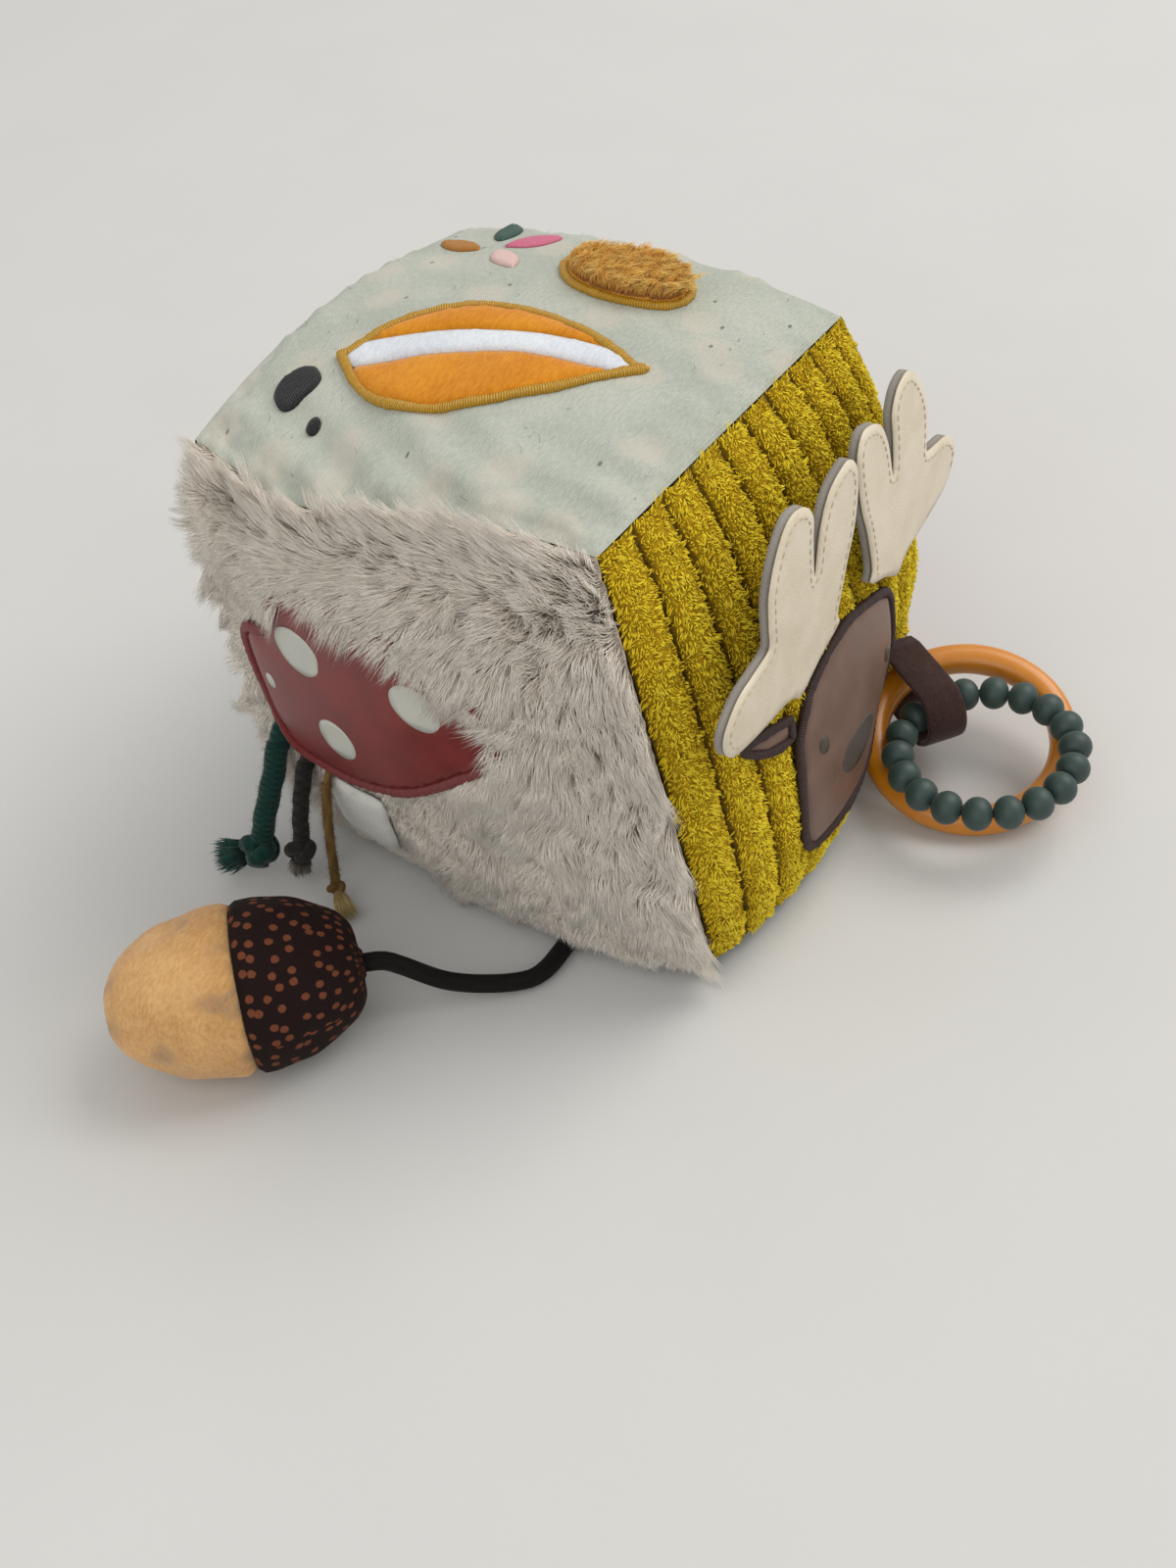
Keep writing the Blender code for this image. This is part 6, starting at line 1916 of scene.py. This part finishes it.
@dataclass(frozen=True)
class Acorn:
    """The stuffed acorn on its cord: a spotted cap and a velour nut, lying on the floor."""

    radius: float = 0.0240
    cap_length: float = 0.0335
    nut_length: float = 0.0385
    turn: float = 224.6
    cord_radius: float = 0.0029
    cord_gap: float = 0.0008
    tip_radius: float = 0.0040
    cols: int = 96
    start: tuple = (0.02939, -0.08262, 0.0031)
    rise: float = 0.0211
    route: tuple = ((0, 0, 0), (0.0004, -0.0070, 0), (0.0004, -0.0150, 0), (-0.0020, -0.0220, 0.02),
                    (-0.0100, -0.0300, 0.10), (-0.0195, -0.0385, 0.32), (-0.0285, -0.0462, 0.76),
                    (-0.0318, -0.0501, 0.96), (-0.0361, -0.0543, 1.00))

    def line(self) -> Array:
        """Return the cord's centre line."""
        points = np.array(self.route, float) * [1, 1, self.rise]
        return np.array(self.start) + smooth_route(tuple(map(tuple, points)), 36)

    def rings(self, heights: Array, radii: Array) -> tuple:
        """Return the axis, the directions out of it, and rings of points at heights along it."""
        way = np.array([math.cos(math.radians(self.turn)), math.sin(math.radians(self.turn)), 0.0])
        side = np.array([-way[1], way[0], 0.0])
        begin = self.line()[-1] + way * self.cord_gap
        ring = circle(side, np.array([0, 0, 1.0]), self.cols)
        return begin, way, ring, begin + heights[:, None, None] * way + radii[:, None, None] * ring[None]

    def swelling(self, heights: Array, radii: Array) -> Array:
        """Simulate the whole acorn as one stuffed cover, held at its seam, its ends and the floor."""
        verts = self.rings(heights, radii)[3].reshape(-1, 3)
        faces, _ = grid_faces(len(heights), self.cols, False, True)
        row = np.repeat(np.arange(len(heights)), self.cols)
        seam = np.abs(np.repeat(heights, self.cols) - self.cap_length) < 0.0012
        held = seam | (row < 2) | (row > len(heights) - 3) | (verts[:, 2] < 0.0008)
        moves = Stuffing(spare=0.06, limit=0.0013).swell(verts, faces, held)
        return moves.reshape(len(heights), self.cols, 3)

    def turned(self, name: str, heights: Array, radii: Array, moves: Array,
               rumple: float, seed: int) -> Piece:
        """Sweep a profile round the acorn's axis, with soft dimples and a point at each end."""
        begin, way, ring, body = self.rings(heights, radii)
        body = body + moves
        cols = self.cols
        angle = angles(cols)
        dent = ripple(body.reshape(-1, 3), 0.016, seed).reshape(len(heights), cols) * rumple
        gathers = 0.00022 * np.sin(angle * 21)[None,
            :] * np.exp(-((heights[:, None] - self.cap_length) / 0.004) ** 2)
        size = np.minimum(1, radii / 0.012)[:, None]
        body = body + ring[None] * ((dent + gathers) * size)[..., None]
        body[..., 2] = np.maximum(body[..., 2], 0.00015)
        verts = np.concatenate([body.reshape(-1, 3), [begin + way * heights[0], begin + way * heights[-1]]])
        quads, steps = grid_faces(len(heights), cols, False, True)
        run = run_along(np.stack([heights, radii], 1))
        last = (len(heights) - 1) * cols
        caps = fans(len(heights), cols)
        reach = float(radii.max()) * 2 * math.pi / cols
        maps = [np.stack([steps[..., 1] * reach, run[steps[..., 0]]], -1),
                np.stack([(caps % cols) * reach, np.where(caps >= last, run[-1], 0.0)], -1)]
        return build(name, verts, [quads, caps], maps)

    def make(self) -> None:
        """Build the cord, the cap, the nut and the seam between them."""
        path = self.line()
        folds = 1 + 0.03 * np.cos(4 * angles(16))
        section = oval_section(2 * self.cord_radius, 2 * self.cord_radius, 16) * folds[:, None]
        cord = sweep("acorn_cord_tube", path, (0, 0, 1.0), section, False)
        dress(cord, DARK_CORD, "acorn_string", ("acorn_cord",))
        a = np.linspace(0, math.pi / 2, 26)
        cap_h = self.cap_length * (1 - np.sin(a))[::-1]
        cap_r = (self.tip_radius + (self.radius - self.tip_radius) * np.cos(a) ** 0.9)[::-1]
        base = self.cap_length + 0.0004
        nut_h = base + self.nut_length * np.sin(a)
        nut_r = self.radius * np.maximum(np.cos(a), 0.0) ** 0.85
        moves = self.swelling(np.concatenate([cap_h, nut_h[1:-1]]), np.concatenate([cap_r, nut_r[1:-1]]))
        still = np.zeros((1, self.cols, 3))
        heights = np.concatenate([[0.0002, 0.0, -0.0013, -0.0013], cap_h[1:], [self.cap_length + 0.0002]])
        radii = np.concatenate([[0.0008, 0.0033, 0.0033, 0.0038], cap_r[1:], [self.radius * 0.965]])
        shift = np.concatenate([still] * 4 + [moves[1:26], still])
        cap = self.turned("acorn_spotted_cap", heights, radii, shift, 0.00045, 101)
        dress(cap, SPOTTED, "acorn", ("acorn_cap",))
        heights = np.concatenate([[base], nut_h + 0.0003, [base + self.nut_length + 0.0003]])
        radii = np.concatenate([[self.radius * 0.965], nut_r[:-1], [0.0012, 0.0006]])
        shift = np.concatenate([still, still, moves[26:], still, still])
        nut = self.turned("acorn_velour_nut", heights, radii, shift, 0.00055, 102)
        dress(nut, BEIGE_VELOUR, "acorn", ("acorn_nut",))


@dataclass(frozen=True)
class Filling:
    """The stuffing: a closed cube surface just inside the panels."""

    cells: int = 24
    depth: float = 0.040

    def make(self) -> None:
        """Build six grids laid a share of the way inside the cloth and weld them."""
        line = np.linspace(-BLOCK.half, BLOCK.half, self.cells + 1)
        u, v = net(line)
        quads, _ = grid_faces(self.cells + 1, self.cells + 1)
        sheets = [BLOCK.at(side, u, v) for side in Side]
        verts = np.concatenate(sheets)
        verts = verts + (BLOCK.middle() - verts) * self.depth
        faces = np.concatenate([quads + k * len(u) for k in range(len(sheets))])
        obj = build("fibre_filling", verts, [faces], None, recalc=False)
        outward(obj.data, 0.01 * MM)
        dress(obj, SEAM, "block", ("stuffing_core",))


@dataclass(frozen=True)
class Studio:
    """The camera, the soft lamps and the pale floor."""

    place: tuple = (0.26764, -0.39256, 0.42522)
    right: tuple = (0.84068, 0.53712, -0.06894)
    up: tuple = (-0.32275, 0.59919, 0.73267)
    lens: float = 42.75
    floor: tuple = (207, 207, 206)
    world: float = 0.60
    key: float = 60.0
    fill: float = 13.0

    def camera(self) -> None:
        """Set the camera where the photograph was taken from."""
        data = bpy.data.cameras.new("camera")
        data.lens = self.lens
        data.sensor_width = 36.0
        data.clip_start = 0.01
        camera = bpy.data.objects.new("camera", data)
        bpy.context.scene.collection.objects.link(camera)
        right, up = Vector(self.right).normalized(), Vector(self.up).normalized()
        back = right.cross(up).normalized()
        turn = Matrix((right, back.cross(right), back)).transposed().to_4x4()
        camera.matrix_world = Matrix.Translation(Vector(self.place)) @ turn
        bpy.context.scene.camera = camera

    def lamp(self, name: str, place: tuple, size: float, power: float, colour: tuple) -> None:
        """Add a square lamp that looks at the block."""
        data = bpy.data.lights.new(name, "AREA")
        data.size = size
        data.energy = power
        data.color = colour
        lamp = bpy.data.objects.new(name, data)
        bpy.context.scene.collection.objects.link(lamp)
        aim = Vector((0.0, 0.0, 0.06)) - Vector(place)
        lamp.matrix_world = Matrix.Translation(Vector(place)) @ aim.to_track_quat("-Z",
            "Y").to_matrix().to_4x4()

    def make(self) -> None:
        """Build the camera, the lamps, the world and the floor."""
        self.camera()
        self.lamp("key_lamp", (1.0, 1.7, 2.5), 2.2, self.key, (1.0, 0.975, 0.93))
        self.lamp("fill_lamp", (0.3, -1.7, 1.4), 2.0, self.fill, (1.0, 0.975, 0.94))
        world = bpy.data.worlds.new("studio")
        bpy.context.scene.world = world
        world.use_nodes = True
        back = world.node_tree.nodes["Background"]
        back.inputs["Color"].default_value = (1.0, 0.985, 0.955, 1.0)
        back.inputs["Strength"].default_value = self.world
        line = np.linspace(-9, 9, 13)
        x, y = net(line)
        quads, _ = grid_faces(13, 13)
        obj = build("floor", np.stack([x, y, np.full_like(x, -0.0001)], 1), [quads], None, recalc=False)
        obj.data.materials.append(Finish("floor_paper", self.floor, tuple(c - 3 for c in self.floor), 0.9,
                                         size=0.003, depth=0.00002).material())
        bpy.context.scene.view_settings.view_transform = "Standard"


def clear_start() -> None:
    """Remove the objects that Blender starts with."""
    known = set(frame["nodes"].values()) | set(frame["bodies"].values())
    for obj in list(bpy.data.objects):
        if obj not in known:
            bpy.data.objects.remove(obj)


def knotted_cords() -> tuple:
    """Return the three cords that hang from under the mushroom's cap."""
    return (
        KnottedCord("green", (-0.07202, -0.09054, 0.04645),
                    ((0, 0, 0), (0.0005, -0.0052, -0.0090), (0, -0.0110, -0.0190),
                     (-0.0008, -0.0145, -0.0275)),
                    0.0036, 1.95, (-0.85, -0.36, -0.30), 0.0095, GREEN_CORD, GREEN_FRAY,
                    ("green_cord", "green_cord")),
        KnottedCord("black", (-0.06186, -0.09045, 0.04238),
                    ((0, 0, 0), (0.0004, -0.0046, -0.0085), (0.0010, -0.0082, -0.0165),
                     (0.0016, -0.0102, -0.0225)),
                    0.0026, 2.15, (-0.15, -0.20, -0.97), 0.0050, BLACK_CORD, GREY_FRAY,
                    ("black_cord", "grey_fray")),
        KnottedCord("tan", (-0.0507, -0.09428, 0.04162),
                    ((0, 0, 0), (0.0012, -0.0036, -0.0110), (0.0030, -0.0068, -0.0215),
                     (0.0044, -0.0092, -0.0320)),
                    0.0015, 2.20, (0.75, -0.55, -0.30), 0.0090, TAN_CORD, TAN_FRAY,
                    ("tan_cord", "tan_cord")),
    )


def panels() -> tuple:
    """Return the six sewn panels."""
    return (Panel("jersey_top", Side.TOP, JERSEY, "sage_jersey", 130),
            Panel("fur_backing", Side.FRONT, FUR_BACKING, "cream_fur", 130),
            Panel("ribbed_side", Side.RIGHT, PLUSH, "mustard_plush", 240),
            Panel("velour_back", Side.BACK, RED_VELOUR, "red_velour", 60),
            Panel("velour_left", Side.LEFT, GREEN_VELOUR, "green_velour", 60),
            Panel("velour_bottom", Side.BOTTOM, GREEN_VELOUR, "green_velour", 60))


def main() -> None:
    """Build the scene: studio and cords first, then the cloth and everything sewn on it."""
    logging.basicConfig(level=logging.INFO, format="%(name)s: %(message)s")
    clear_start()
    BLOCK.swell()
    Studio().make()
    for cord in knotted_cords():
        cord.make()
    Acorn().make()
    Filling().make()
    for panel in panels():
        panel.make()
    mushroom, head = Mushroom(), Head()
    mushroom.make()
    head.make()
    LeafDesign().make()
    Antler("left", -1, (0.08264, -0.0234, 0.08345), (-0.0175, 0.9998, 0.0), (-0.0087, -0.0002, 1.0)).make()
    Antler("right", 1, (0.08243, 0.0190, 0.08345), (-0.0872, 0.9962, 0.0), (-0.0573, -0.0050, 0.9983)).make()
    Teethers().make()
    FurSide().make(tuple(inset(loop, 0.0015) for loop in mushroom.outlines()))
    RibSide().make(tuple(inset(loop, 0.0012) for loop in head.outlines()))


if __name__ == "__main__":
    main()
